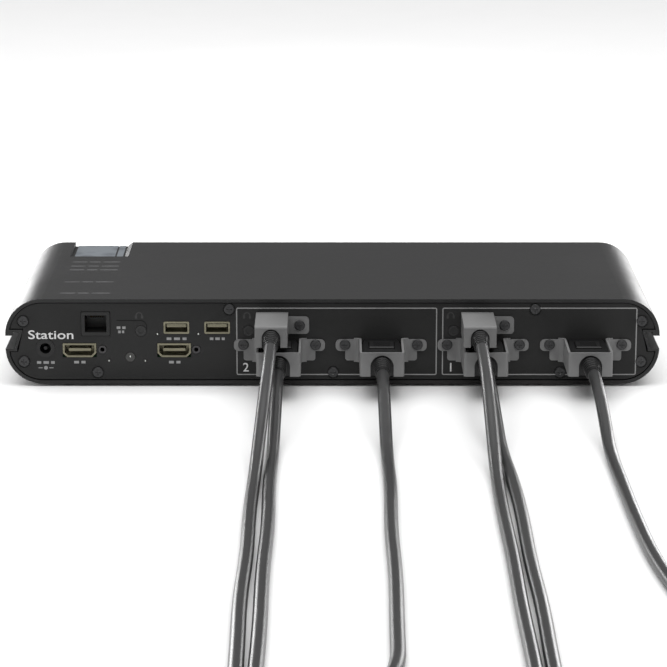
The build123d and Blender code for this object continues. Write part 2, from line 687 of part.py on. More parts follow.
def port_button(x):
    """Push button: cap through the bezel, flange behind it and a stem to its switch."""
    w = BUTTON_W / 2
    h = BUTTON_H / 2
    flange_y = BEZEL_IN - MOVE
    cap = slab(rounded(x - w, x + w, MID_Z - h, MID_Z + h, BUTTON_R), flange_y, BEZEL_Y + BUTTON_PROUD)
    cap = fillet(cap.edges().group_by(Axis.Y)[-1], 0.6)
    flange = rounded(x - w - 1.2, x + w + 1.2, MID_Z - h - 1.2, MID_Z + h + 1.2, BUTTON_R)
    stem_y = BEZEL_IN - FRONT_BOARD_GAP + SWITCH_H + BUTTON_TRAVEL + MOVE
    return cap + slab(flange, flange_y - FLANGE, flange_y) + rod_y(x, MID_Z, 2.0, stem_y, flange_y)


# ---- Locking brackets --------------------------------------------------------------------------
def bracket_screw_places():
    """Every bracket screw on the panel."""
    places = []
    for x in COMPUTER_VIDEO_X:
        places += [(x - EAR_SCREW_X, UNDER + EAR_SCREW_Z), (x + EAR_SCREW_X, UNDER + EAR_SCREW_Z)]
    return places + [(x + SMALL_SCREW[0], PERIPHERAL_AXIS + SMALL_SCREW[1]) for x in PERIPHERAL_X]


def arch(x, z, radius):
    """Cable opening: half round above, open below."""
    return Pos(x, z) * Circle(radius) + rect(x - radius, x + radius, z - 3 * radius, z)


def bend(sketch, corners, radius):
    """Rounds the corners of a sketch that lie at the given points."""
    near = [v for v in sketch.vertices() if min(abs(v.X - a) + abs(v.Y - b) for a, b in corners) < 1e-4]
    return fillet(near, radius)


def video_bracket(x):
    """Bent sheet cage: a front plate with a cable arch, two arms and two screw ears."""
    w = VIDEO_BRACKET_W / 2
    back = -REACH + SHEET
    plan = Polygon(
        (-EAR_IN, 0), (SHEET - w, 0), (SHEET - w, back), (w - SHEET, back), (w - SHEET, 0), (EAR_IN, 0),
        (EAR_IN, -SHEET), (w, -SHEET), (w, -REACH), (-w, -REACH), (-w, -SHEET), (-EAR_IN, -SHEET),
        align=None,
    )
    plan = bend(plan, [(-w, -REACH), (w, -REACH)], SHEET + 0.6)
    plan = bend(plan, [(SHEET - w, back), (w - SHEET, back)], 0.6)
    plan = bend(plan, [(-w, -SHEET), (w, -SHEET)], BEND_R)
    plan = bend(plan, [(SHEET - w, 0), (w - SHEET, 0)], BEND_R)
    z0, z1 = VIDEO_BRACKET_Z
    cage = Pos(x, PANEL_Y, UNDER + z0) * extrude(plan, z1 - z0, dir=(0, 0, 1))
    cage = cage - slab(arch(x, UNDER + VIDEO_ARCH_Z, VIDEO_ARCH_R), PANEL_Y - REACH - 1, PANEL_Y + back + 1)
    ear = rounded(EAR_IN - 3, EAR_OUT, UNDER + EAR_STEP_Z, UNDER + EAR_Z[1], 2.6)
    ear = ear + rounded(EAR_IN - 3, EAR_STEP_X, UNDER + EAR_Z[0], UNDER + EAR_Z[1], 1.6)
    ear = ear & rect(EAR_IN - 0.5, EAR_OUT, UNDER, TOP)
    ear = ear - Pos(EAR_SCREW_X, UNDER + EAR_SCREW_Z) * Circle(SHANK_R + HOLE_FIT)
    ears = Pos(x, 0) * both_sides(ear)
    return cage + slab(ears, PANEL_Y - SHEET, PANEL_Y)


def peripheral_bracket(x):
    """Smaller cage over an upper plug: front plate, roof, two arms and one ear."""
    w = SMALL_BRACKET_W / 2
    z0 = PERIPHERAL_AXIS + SMALL_BRACKET_Z[0]
    z1 = PERIPHERAL_AXIS + SMALL_BRACKET_Z[1]
    outer = block(x - w, x + w, PANEL_Y - REACH, PANEL_Y, z0, z1)
    outer = fillet(outer.edges().filter_by(Axis.X).group_by(Axis.Y)[0].sort_by(Axis.Z)[-1:], SHEET + 0.4)
    inner = block(x - w + SHEET, x + w - SHEET, PANEL_Y - REACH + SHEET, PANEL_Y + 1, z0 - 1, z1 - SHEET)
    cage = outer - inner
    opening = arch(x, PERIPHERAL_AXIS + SMALL_ARCH_Z, SMALL_ARCH_R)
    cage = cage - slab(opening, PANEL_Y - REACH - 1, PANEL_Y - REACH + SHEET + 1)
    ear_low, ear_high = (PERIPHERAL_AXIS + z for z in SMALL_EAR_Z)
    ear = rounded(x + SMALL_EAR_X[0] - 3, x + SMALL_EAR_X[1], ear_low, ear_high, 2.2)
    ear = ear & rect(x + w - SHEET, x + SMALL_EAR_X[1], UNDER, TOP)
    ear = ear - Pos(x + SMALL_SCREW[0], PERIPHERAL_AXIS + SMALL_SCREW[1]) * Circle(SHANK_R + HOLE_FIT)
    return cage + slab(ear, PANEL_Y - SHEET, PANEL_Y)


def bracket_screws():
    places = bracket_screw_places()
    return Compound([Pos(x, PANEL_Y - SHEET, z) * FACING_REAR * screw(SHEET + 5) for x, z in places])


# ---- Plugs, in their own frame: the panel face at y = 0, the cord towards -Y ---------------------
def relief(length):
    """Tapered strain relief from the back of a plug's grip."""
    cone = Pos(0, 0, 0) * Cone(RELIEF_R, RELIEF_END_R, length)
    return Pos(0, -PLUG_L - length / 2, 0) * Rot(90, 0, 0) * cone


def grip(width, height, neck):
    """Moulded grip with slanted shoulders in plan and rounded corners in side view."""
    w = width / 2
    h = height / 2
    plan = Polygon((-neck, -0.4), (-w, -9), (-w, -PLUG_L), (w, -PLUG_L), (w, -9), (neck, -0.4), align=None)
    plan = bend(plan, [(-w, -PLUG_L), (w, -PLUG_L)], 2.4)
    body = Pos(0, 0, -h) * extrude(plan, height, dir=(0, 0, 1))
    edges = body.edges().filter_by(Axis.Y) + body.edges().filter_by(Axis.X).group_by(Axis.Y)[0]
    return fillet(edges, 1.2)


def video_tip():
    """Hollow metal tip that goes round a video socket's tongue."""
    ring = video_outline(SHELL_T + FIT) - video_outline(SHELL_T + FIT + 0.6)
    return slab(ring, -0.6, 7.6)


def video_plug(with_pocket):
    plug = grip(VIDEO_PLUG_W, VIDEO_PLUG_H, 8.8) + video_tip() + relief(RELIEF_L)
    if with_pocket:
        half = LATCH / 2 + MOVE
        far = -LATCH_FROM - LATCH - MOVE
        top = VIDEO_PLUG_H / 2
        plug = plug - block(-half, half, far, MOVE - LATCH_FROM, top - LATCH_POCKET, top + 1)
    else:
        half = LATCH / 2
        top = VIDEO_PLUG_H / 2
        plug = plug + block(-half, half, -LATCH_FROM - LATCH, -LATCH_FROM, top - 1, top + LATCH_PROUD)
    return plug


def latch_button():
    half = LATCH / 2
    top = VIDEO_PLUG_H / 2 + LATCH_PROUD
    low = VIDEO_PLUG_H / 2 - LATCH_POCKET + LATCH_TRAVEL + MOVE
    button = block(-half, half, -LATCH_FROM - LATCH, -LATCH_FROM, low, top)
    return fillet(button.edges().group_by(Axis.Z)[-1], 0.7)


def peripheral_plug():
    tip = rect(-4.0, 4.0, -3.6, 3.6) - rect(-3.2, 3.2, -2.8, 2.8)
    return grip(PERIPHERAL_PLUG_W, PERIPHERAL_PLUG_H, 6.2) + slab(tip, -0.6, 8) + relief(RELIEF_L)


def far_usb_plug():
    tip = rect(-TIP_W / 2, TIP_W / 2, -TIP_H / 2, TIP_H / 2)
    hollow = rect(-TIP_W / 2 + 0.4, TIP_W / 2 - 0.4, -TIP_H / 2 + 0.4, 0.2)
    return grip(FAR_USB_W, FAR_USB_H, 7.0) + slab(tip - hollow, -0.6, TIP_L) + relief(RELIEF_L)


# ---- Cords: each route is a list of (x, distance from the rear rim, z) ---------------------------
EXIT = PLUG_L + RELIEF_L - END_INSET       # from the rear rim to the end of a strain relief
FLOOR = CORD_R
VIDEO_ROUTES = (
    ((-29.8, 82, VIDEO_AXIS), (-30.2, 110, 13.2), (-30.6, 142, FLOOR), (-31.4, 196, FLOOR), (-30.2, 260, FLOOR),
     (-31.4, 330, FLOOR), (-30.6, 404, FLOOR), (-31.4, 480, FLOOR), (-31.0, 556, FLOOR)),
    ((27.4, 82, VIDEO_AXIS), (27.7, 110, 13.2), (28.0, 143, FLOOR), (29.0, 202, FLOOR), (27.6, 266, FLOOR),
     (28.6, 332, FLOOR), (27.6, 398, FLOOR), (27.03, 459.7, FLOOR)),
    ((84.8, 82, VIDEO_AXIS), (85.8, 110, 13.2), (87.2, 142, FLOOR), (90.0, 192, FLOOR), (90.8, 250, FLOOR),
     (90.0, 312, FLOOR), (91.2, 376, FLOOR), (90.2, 440, FLOOR), (90.5, 499.5, FLOOR)),
    ((142.4, 82, VIDEO_AXIS), (142.8, 110, 13.2), (143.0, 142, FLOOR), (143.8, 194, FLOOR), (144.6, 252, FLOOR),
     (147.0, 316, FLOOR), (156.0, 384, FLOOR), (176.0, 450, FLOOR), (200.0, 512, FLOOR), (208.0, 574, FLOOR)),
)
PERIPHERAL_ROUTES = (
    ((-33.8, 82, PERIPHERAL_AXIS), (-35.0, 110, 29.5), (-37.0, 144, 15.6), (-38.8, 182, FLOOR), (-39.8, 240, FLOOR),
     (-39.0, 304, FLOOR), (-40.4, 364, FLOOR), (-39.4, 424, FLOOR), (-39.0, 480, FLOOR)),
    ((81.3, 82, PERIPHERAL_AXIS), (81.6, 110, 29.5), (82.0, 144, 15.6), (82.2, 182, FLOOR), (81.8, 242, FLOOR),
     (82.6, 308, FLOOR), (82.0, 376, FLOOR), (82.8, 444, FLOOR), (82.2, 512, FLOOR), (82.5, 576, FLOOR)),
)
# Coil centre x, distance of the centre from the rear rim, heading of the cord as it comes in
# (degrees from straight out, towards +X), side it turns to (+1 towards +X), turns.
VIDEO_COILS = (
    (-75.3, 656.0, 0.0, -1, 4.7),
    (26.0, 556.0, -28.0, 1, 5.4),
    (151.5, 556.0, 15.0, 1, 5.3),
    (163.7, 656.0, 0.0, -1, 4.8),
)
PERIPHERAL_COILS = (
    (-83.3, 556.0, 0.0, -1, 5.2),
    (38.2, 656.0, 0.0, -1, 4.9),
)


def out(x, distance, z):
    """A point given by its distance out from the rear rim."""
    return Vector(x, REAR_Y - distance, z)


def coil_entry(coil):
    """Where the cord meets its coil's outer turn, and its heading there."""
    cx, distance, heading, side, _ = coil
    angle = math.radians(heading)
    ahead = Vector(math.sin(angle), -math.cos(angle), 0)
    across = Vector(math.cos(angle), math.sin(angle), 0)
    touch = out(cx, distance, FLOOR) - across * (side * COIL_OUT)
    return touch, ahead


def coil_end(coil):
    """Centre of a coil and the angle about it where the last turn ends."""
    cx, distance, _, _, turns = coil
    centre = out(cx, distance, 0)
    touch, _ = coil_entry(coil)
    first = math.atan2(touch.Y - centre.Y, touch.X - centre.X)
    return centre, first + winding(coil) * 2 * math.pi * turns


def winding(coil):
    """+1 where a coil's turns run anticlockwise seen from above, else -1."""
    return coil[3]


def tail_end(coil, axis_z):
    """Back of the plug that lies over a coil, and the plug's direction."""
    centre, last = coil_end(coil)
    turn = last + winding(coil) * math.radians(TAIL_TURN)
    bend_centre = centre + Vector(math.cos(last), math.sin(last), 0) * (COIL_OUT - TAIL_R)
    point = bend_centre + Vector(math.cos(turn), math.sin(turn), 0) * TAIL_R
    ahead = Vector(-math.sin(turn), math.cos(turn), 0) * winding(coil)
    return Vector(point.X, point.Y, axis_z), ahead


def route_points(start, route, coil):
    touch, ahead = coil_entry(coil)
    return [start] + [out(*p) for p in route] + [touch - ahead * STUB]


def cord_run(name, points):
    """Round cord along straight runs joined by arcs; prints its tightest bend."""
    radii = []
    for a, b, c in zip(points, points[1:], points[2:]):
        half_turn = math.radians((b - a).get_angle(c - b)) / 2
        radii.append(0.45 * min((b - a).length, (c - b).length) / math.tan(half_turn))
    path = FilletPolyline(*points, radius=radii)
    start = Plane(origin=points[0], z_dir=points[1] - points[0])
    run = sweep(start * Circle(CORD_R), path=path)
    expected = math.pi * CORD_R ** 2 * path.length
    print(f"{name}: length {path.length:.0f}, least radius {min(radii):.0f}, volume/expected "
          f"{run.volume / expected:.4f}, longest run {max((b - a).length for a, b in zip(points, points[1:])):.0f}")
    return run


def cord_coil(coil, axis_z):
    """Outer shape of one coil, its straight entry and the tail up to its plug."""
    cx, distance = coil[0], coil[1]
    centre = out(cx, distance, COIL_H / 2)
    section = Pos((COIL_OUT + COIL_IN) / 2, 0) * RectangleRounded(COIL_OUT - COIL_IN + CORD_D, COIL_H, 2.6)
    ring = Pos(*centre) * revolve(Plane.XZ * section, Axis.Z)
    touch, ahead = coil_entry(coil)
    stub = Plane(origin=touch - ahead * STUB, z_dir=ahead) * extrude(Rectangle(CORD_D, CORD_D), STUB - CORD_R)
    back, heading = tail_end(coil, axis_z)
    level = back - heading * 7
    dip = level - heading * 18 + Vector(0, 0, COIL_H - CORD_R - axis_z)
    path = FilletPolyline(back, level, dip, radius=[12])
    tail = sweep(Plane(origin=back, z_dir=heading * -1) * Circle(CORD_R), path=path)
    return ring + stub + tail


def far_plug(plug, coil, axis_z):
    """A plug with the end of its strain relief at a tail's end, lying on the coil."""
    back, heading = tail_end(coil, axis_z)
    place = Plane(origin=back, x_dir=heading.cross(Vector(0, 0, 1)), z_dir=(0, 0, 1))
    return place.location * Pos(0, PLUG_L + RELIEF_L, 0) * plug


# ---- Write every node --------------------------------------------------------------------------
os.makedirs("parts", exist_ok=True)


def write(name, shape):
    shape.label = name
    export_step(shape, f"parts/{name}.step")


write("top_shell", top_shell())
write("bottom_shell", bottom_shell())
write("rear_panel", rear_panel())
write("front_bezel", front_bezel())
write("rubber_feet", rubber_feet())
write("panel_screws", panel_screws())
write("case_screws", case_screws())
write("seal_label", seal_label())
write("lower_board", lower_board())
write("upper_board", upper_board())
write("board_standoffs", board_standoffs())
write("board_screws", board_screws())
write("board_chips", board_chips())
write("coin_cell_holder", coin_cell_holder())
write("coin_cell", coin_cell())
write("front_board", front_board())
write("tact_switches", tact_switches())
write("ribbon_cable", ribbon_cable())
write("dc_jack", dc_jack())
write("remote_port", remote_port())
write("audio_jacks", audio_jacks())
write("lock_bushes", lock_bushes())
write("light_pipes", light_pipes())
write("console_video_sockets", Compound([video_socket(x) for x in CONSOLE_VIDEO_X]))
write("video_sockets", Compound([video_socket(x) for x in COMPUTER_VIDEO_X]))
write("usb_sockets", Compound([usb_socket(x) for x in USB_X]))
write("peripheral_sockets", Compound([peripheral_socket(x) for x in PERIPHERAL_X]))
write("bracket_screws", bracket_screws())

for i, x in enumerate(BUTTON_X, 1):
    write(f"port_button_{i}", port_button(x))

far_video = []
VIDEO_LIE_Z = COIL_H + VIDEO_PLUG_H / 2
for i, (x, route, coil) in enumerate(zip(COMPUTER_VIDEO_X, VIDEO_ROUTES, VIDEO_COILS), 1):
    seat = Pos(x, PANEL_Y, VIDEO_AXIS)
    write(f"video_bracket_{i}", video_bracket(x))
    write(f"video_plug_{i}", seat * video_plug(True))
    write(f"latch_button_{i}", seat * latch_button())
    points = route_points(out(x, EXIT, VIDEO_AXIS), route, coil)
    write(f"video_cord_{i}", cord_run(f"video_cord_{i}", points))
    write(f"video_coil_{i}", cord_coil(coil, VIDEO_LIE_Z))
    far_video.append(far_plug(video_plug(False), coil, VIDEO_LIE_Z))
write("far_video_plugs", Compound(far_video))

far_usb = []
USB_LIE_Z = COIL_H + FAR_USB_H / 2
for i, (x, route, coil) in enumerate(zip(PERIPHERAL_X, PERIPHERAL_ROUTES, PERIPHERAL_COILS), 1):
    write(f"peripheral_bracket_{i}", peripheral_bracket(x))
    write(f"peripheral_plug_{i}", Pos(x, PANEL_Y, PERIPHERAL_AXIS) * peripheral_plug())
    points = route_points(out(x, EXIT, PERIPHERAL_AXIS), route, coil)
    write(f"peripheral_cord_{i}", cord_run(f"peripheral_cord_{i}", points))
    write(f"peripheral_coil_{i}", cord_coil(coil, USB_LIE_Z))
    far_usb.append(far_plug(far_usb_plug(), coil, USB_LIE_Z))
write("far_usb_plugs", Compound(far_usb))
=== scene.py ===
"""Looks of a two-port desktop switch with locked-in leads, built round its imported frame.

Every place comes from the frame's own boxes, in metres: +Z up, the connector panel towards -Y.
"""
import logging
import math
from dataclasses import dataclass, field
from enum import Enum

import bmesh
import bpy
from mathutils import Matrix, Vector


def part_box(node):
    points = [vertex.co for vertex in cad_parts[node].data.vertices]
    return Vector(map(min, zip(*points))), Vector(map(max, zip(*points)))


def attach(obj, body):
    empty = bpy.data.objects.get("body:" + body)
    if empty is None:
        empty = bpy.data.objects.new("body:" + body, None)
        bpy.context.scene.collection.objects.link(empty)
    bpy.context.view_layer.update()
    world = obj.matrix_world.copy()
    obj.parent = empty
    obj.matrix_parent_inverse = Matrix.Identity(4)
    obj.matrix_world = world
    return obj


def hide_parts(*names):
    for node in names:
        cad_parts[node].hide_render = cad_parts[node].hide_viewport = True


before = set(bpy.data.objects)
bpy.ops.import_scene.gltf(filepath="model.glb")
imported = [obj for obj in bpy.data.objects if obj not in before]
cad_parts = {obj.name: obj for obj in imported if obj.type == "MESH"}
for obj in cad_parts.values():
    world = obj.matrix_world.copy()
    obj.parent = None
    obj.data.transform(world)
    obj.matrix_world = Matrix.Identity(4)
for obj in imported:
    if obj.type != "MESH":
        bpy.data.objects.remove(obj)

LOG = logging.getLogger("desktop_switch")
MM = 0.001
CASE = "case"
CAPITAL_SHARE = 0.7
INK_T = 0.06

Node = bpy.types.Node
Socket = bpy.types.NodeSocket
Tree = bpy.types.NodeTree
Flat = list[tuple[float, float]]
Point = tuple[float, float, float]


# ---- Finishes ----------------------------------------------------------------------------------
class Grain(Enum):
    """What the surface of a finish looks like close up."""

    POWDER = "powder"
    MOULDED = "moulded"
    BRUSHED = "brushed"
    JACKET = "jacket"
    LAMINATE = "laminate"
    FILM = "film"


STRETCH = {
    Grain.POWDER: (1.0, 1.0, 1.0),
    Grain.MOULDED: (1.0, 1.0, 1.0),
    Grain.BRUSHED: (0.06, 1.0, 1.0),
    Grain.JACKET: (1.0, 0.35, 1.0),
    Grain.LAMINATE: (1.0, 1.0, 1.0),
    Grain.FILM: (1.0, 1.0, 1.0),
}


@dataclass(frozen=True)
class Finish:
    """One procedural finish: a principled surface with its grain, variation and edge wear."""

    name: str
    colour: tuple[float, float, float]
    roughness: float
    grain: Grain = Grain.MOULDED
    metallic: float = 0.0
    pitch: float = 1400.0
    bump: float = 0.12
    vary: float = 0.14
    wear: float = 0.0
    coat: float = 0.0
    specular: float = 0.5
    accent: tuple[float, float, float] = (0.5, 0.5, 0.5)

    def material(self) -> bpy.types.Material:
        """The finish's material, made once.

        Returns:
            The material, ready to assign.
        """
        title = f"{self.name}_finish"
        made = bpy.data.materials.get(title)
        if made:
            return made
        made = bpy.data.materials.new(title)
        made.use_nodes = True
        tree = made.node_tree
        shader = tree.nodes["Principled BSDF"]
        shader.inputs["Metallic"].default_value = self.metallic
        shader.inputs["Coat Weight"].default_value = self.coat
        shader.inputs["Coat Roughness"].default_value = 0.25
        shader.inputs["Specular IOR Level"].default_value = self.specular
        fine = self._noise(tree, self.pitch, 6.0)
        broad = self._noise(tree, 22.0, 3.0)
        colour = self._blend(
            tree, fine.outputs["Fac"], self._shade(1 - self.vary), self._shade(1 + self.vary))
        colour = self._cloud(tree, broad, colour)
        colour = self._pattern(tree, colour)
        colour = self._edges(tree, colour)
        tree.links.new(colour, shader.inputs["Base Color"])
        self._roughness(tree, broad, shader)
        self._bump(tree, fine, shader)
        return made

    def _shade(self, share: float) -> tuple[float, float, float, float]:
        """The finish's colour, made lighter or darker by a share, with full alpha."""
        return tuple(min(c * share, 1.0) for c in self.colour) + (1.0,)

    def _noise(self, tree: Tree, scale: float, detail: float) -> Node:
        """Noise over the object's own coordinates, stretched as the grain runs.

        Args:
            tree: The material's nodes.
            scale: How fine the noise is.
            detail: How many finer layers it has.

        Returns:
            The noise node.
        """
        place = tree.nodes.new("ShaderNodeTexCoord")
        mapping = tree.nodes.new("ShaderNodeMapping")
        mapping.inputs["Scale"].default_value = STRETCH[self.grain]
        noise = tree.nodes.new("ShaderNodeTexNoise")
        noise.inputs["Scale"].default_value = scale
        noise.inputs["Detail"].default_value = detail
        tree.links.new(place.outputs["Object"], mapping.inputs["Vector"])
        tree.links.new(mapping.outputs["Vector"], noise.inputs["Vector"])
        return noise

    def _blend(self, tree: Tree, factor: Socket, low: tuple, high: tuple) -> Socket:
        """Colour that runs from low to high with a factor.

        Args:
            tree: The material's nodes.
            factor: What drives the ramp.
            low: Colour at its low end.
            high: Colour at its high end.

        Returns:
            The colour.
        """
        ramp = tree.nodes.new("ShaderNodeValToRGB")
        ramp.color_ramp.elements[0].position = 0.3
        ramp.color_ramp.elements[0].color = low
        ramp.color_ramp.elements[1].position = 0.7
        ramp.color_ramp.elements[1].color = high
        tree.links.new(factor, ramp.inputs["Fac"])
        return ramp.outputs["Color"]

    def _mix(self, tree: Tree, factor: Socket, base: Socket, top: tuple) -> Socket:
        """Base colour with a fixed colour laid over it by a factor.

        Args:
            tree: The material's nodes.
            factor: Share of the fixed colour.
            base: Colour below.
            top: The fixed colour.

        Returns:
            The mixed colour.
        """
        mix = tree.nodes.new("ShaderNodeMix")
        mix.data_type = "RGBA"
        mix.inputs[7].default_value = top
        tree.links.new(factor, mix.inputs[0])
        tree.links.new(base, mix.inputs[6])
        return mix.outputs[2]

    def _range(self, tree: Tree, value: Socket, limits: tuple, to: tuple) -> Socket:
        """Value mapped from one range to another.

        Args:
            tree: The material's nodes.
            value: What is mapped.
            limits: Range that it comes from.
            to: Range that it goes to.

        Returns:
            The mapped value.
        """
        node = tree.nodes.new("ShaderNodeMapRange")
        node.inputs["From Min"].default_value = limits[0]
        node.inputs["From Max"].default_value = limits[1]
        node.inputs["To Min"].default_value = to[0]
        node.inputs["To Max"].default_value = to[1]
        tree.links.new(value, node.inputs["Value"])
        return node.outputs["Result"]

    def _cloud(self, tree: Tree, broad: Node, colour: Socket) -> Socket:
        """Slow, faint change of shade over the whole piece."""
        factor = self._range(tree, broad.outputs["Fac"], (0.35, 0.7), (0.0, 0.35))
        return self._mix(tree, factor, colour, self._shade(1 + 1.6 * self.vary))

    def _pattern(self, tree: Tree, colour: Socket) -> Socket:
        """Board traces or the label's printed facets, where the grain has them.

        Args:
            tree: The material's nodes.
            colour: Colour below the pattern.

        Returns:
            The colour with its pattern.
        """
        if self.grain not in (Grain.LAMINATE, Grain.FILM):
            return colour
        place = tree.nodes.new("ShaderNodeTexCoord")
        cells = tree.nodes.new("ShaderNodeTexVoronoi")
        cells.distance = "MANHATTAN" if self.grain is Grain.LAMINATE else "EUCLIDEAN"
        cells.feature = "F1"
        cells.inputs["Scale"].default_value = 160.0 if self.grain is Grain.LAMINATE else 95.0
        tree.links.new(place.outputs["Object"], cells.inputs["Vector"])
        factor = self._range(tree, cells.outputs["Distance"], (0.25, 0.55), (0.0, 0.75))
        return self._mix(tree, factor, colour, self.accent + (1.0,))

    def _edges(self, tree: Tree, colour: Socket) -> Socket:
        """Lighter, rubbed edges.

        Args:
            tree: The material's nodes.
            colour: Colour of the faces.

        Returns:
            The colour with its edges.
        """
        if not self.wear:
            return colour
        shape = tree.nodes.new("ShaderNodeNewGeometry")
        factor = self._range(tree, shape.outputs["Pointiness"], (0.52, 0.62), (0.0, self.wear))
        return self._mix(tree, factor, colour, self._shade(2.6))

    def _roughness(self, tree: Tree, broad: Node, shader: Node) -> None:
        """Roughness that wanders a little, as handling leaves it.

        Args:
            tree: The material's nodes.
            broad: Slow noise that it follows.
            shader: The surface.
        """
        low, high = max(self.roughness - 0.05, 0.03), min(self.roughness + 0.06, 1.0)
        wander = self._range(tree, broad.outputs["Fac"], (0.3, 0.7), (low, high))
        tree.links.new(wander, shader.inputs["Roughness"])

    def _bump(self, tree: Tree, fine: Node, shader: Node) -> None:
        """Height of the grain.

        Args:
            tree: The material's nodes.
            fine: Fine noise that it follows.
            shader: The surface.
        """
        bump = tree.nodes.new("ShaderNodeBump")
        bump.inputs["Strength"].default_value = self.bump
        bump.inputs["Distance"].default_value = 0.2 * MM
        tree.links.new(fine.outputs["Fac"], bump.inputs["Height"])
        tree.links.new(bump.outputs["Normal"], shader.inputs["Normal"])


CASE_PAINT = Finish(
    "case_paint", (0.0072, 0.0072, 0.0073), 0.4,
    Grain.POWDER, bump=0.14, vary=0.1, wear=0.25, specular=0.36)
PANEL_PAINT = Finish(
    "panel_paint", (0.0135, 0.0135, 0.0134), 0.5,
    Grain.POWDER, bump=0.14, vary=0.1, wear=0.25, specular=0.2)
BRACKET_PAINT = Finish(
    "bracket_paint", (0.075, 0.075, 0.075), 0.42,
    Grain.POWDER, pitch=1800, wear=0.8, specular=0.2)
BEZEL_PLASTIC = Finish("bezel_plastic", (0.018, 0.018, 0.019), 0.5, pitch=2200, specular=0.3)
FOOT_RUBBER = Finish("foot_rubber", (0.014, 0.014, 0.014), 0.8, pitch=900, bump=0.3, specular=0.2)
BLACK_SCREW = Finish("black_screw", (0.03, 0.03, 0.031), 0.28, metallic=0.5, pitch=2600, wear=1.2)
PLAIN_STEEL = Finish("plain_steel", (0.5, 0.5, 0.51), 0.3, Grain.BRUSHED, metallic=1.0, pitch=900)
SOCKET_METAL = Finish(
    "socket_metal", (0.17, 0.16, 0.115), 0.3,
    Grain.BRUSHED, metallic=0.9, pitch=700, vary=0.25)
BUSH_METAL = Finish("bush_metal", (0.05, 0.048, 0.05), 0.4, Grain.BRUSHED, metallic=0.6, pitch=800)
GOLD = Finish("contact_gold", (0.7, 0.52, 0.22), 0.28, Grain.BRUSHED, metallic=1.0, pitch=900)
BOARD = Finish(
    "board_laminate", (0.012, 0.085, 0.035), 0.38,
    Grain.LAMINATE, accent=(0.03, 0.16, 0.06), coat=0.4)
CHIP = Finish("chip_resin", (0.018, 0.018, 0.02), 0.6, pitch=2400, bump=0.2)
HOLDER = Finish("holder_plastic", (0.012, 0.012, 0.012), 0.42, specular=0.3)
RIBBON = Finish("ribbon_film", (0.34, 0.35, 0.37), 0.4, Grain.BRUSHED, pitch=500)
BLANK = Finish("blank_plastic", (0.022, 0.022, 0.022), 0.45, specular=0.3)
PIPE = Finish("clear_pipe", (0.035, 0.035, 0.033), 0.2, vary=0.1, specular=0.4)
# Painted highlight: a bright colour that stands in for the glints on the light pipes.
PAINTED_GLINT = Finish("pipe_painted_glint", (0.85, 0.87, 0.84), 0.2, vary=0.05)
BUTTON = Finish("button_plastic", (0.032, 0.032, 0.033), 0.42, pitch=2000, specular=0.3)
PLUG = Finish("plug_plastic", (0.007, 0.007, 0.0072), 0.36, pitch=1900, bump=0.18, specular=0.3)
LATCH = Finish("latch_plastic", (0.01, 0.01, 0.0104), 0.32, pitch=1900, specular=0.35)
JACKET = Finish(
    "cord_jacket", (0.019, 0.019, 0.0195), 0.34,
    Grain.JACKET, pitch=1300, bump=0.2, specular=0.5)
TIE = Finish("tie_fabric", (0.03, 0.03, 0.034), 0.85, pitch=2400, bump=0.6)
FILM = Finish(
    "seal_film", (0.13, 0.145, 0.165), 0.28,
    Grain.FILM, metallic=0.4, accent=(0.24, 0.265, 0.29), vary=0.4)
INK = Finish("white_ink", (0.24, 0.24, 0.24), 0.55, vary=0.12, bump=0.05)
BRIGHT_INK = Finish("bright_ink", (0.6, 0.6, 0.6), 0.5, vary=0.06, bump=0.05)
FAINT_INK = Finish("faint_ink", (0.035, 0.035, 0.035), 0.5, vary=0.1, bump=0.05, specular=0.3)
ROOF_INK = Finish(
    "roof_ink", (0.09, 0.09, 0.092), 0.42,
    vary=0.4, pitch=300, bump=0.05, specular=0.3)
DARK_LINE = Finish("dark_line", (0.006, 0.006, 0.006), 0.6, vary=0.1, bump=0.05, specular=0.1)


# ---- Making pieces -----------------------------------------------------------------------------
def dress(node: str, finish: Finish) -> None:
    """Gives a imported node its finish.

    Args:
        node: Name of the node.
        finish: Finish for all its material slots.
    """
    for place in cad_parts[node].material_slots:
        place.material = finish.material()


def low_high(node: str) -> tuple[Vector, Vector]:
    """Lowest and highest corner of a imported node."""
    low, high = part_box(node)
    return Vector(low), Vector(high)


def piece(
    name: str, mesh: bpy.types.Mesh, finish: Finish, body: str = CASE
) -> bpy.types.Object:
    """A new mesh piece that rides on a body.

    Args:
        name: Name of the piece.
        mesh: Its mesh.
        finish: Its finish.
        body: Body that it rides on.

    Returns:
        The object.
    """
    made = bpy.data.objects.new(name, mesh)
    bpy.context.scene.collection.objects.link(made)
    mesh.materials.clear()
    mesh.materials.append(finish.material())
    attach(made, body)
    return made


def mesh_from(work: bmesh.types.BMesh, name: str, smooth: bool = False) -> bpy.types.Mesh:
    """Closes a bmesh into a mesh.

    Args:
        work: The bmesh, freed here.
        name: Name of the mesh.
        smooth: Whether its faces are shaded smooth.

    Returns:
        The mesh.
    """
    bmesh.ops.recalc_face_normals(work, faces=work.faces)
    for face in work.faces:
        face.smooth = smooth
    mesh = bpy.data.meshes.new(name)
    work.to_mesh(mesh)
    work.free()
    return mesh


def prism(work: bmesh.types.BMesh, outline: list[Vector], depth: Vector) -> None:
    """Adds a closed prism to a bmesh.

    Args:
        work: The bmesh.
        outline: Corners of its flat outline, in order.
        depth: From the outline to the far side.
    """
    near = [work.verts.new(p) for p in outline]
    far = [work.verts.new(p + depth) for p in outline]
    work.faces.new(near)
    work.faces.new(list(reversed(far)))
    for i in range(len(near)):
        j = (i + 1) % len(near)
        work.faces.new((near[i], far[i], far[j], near[j]))


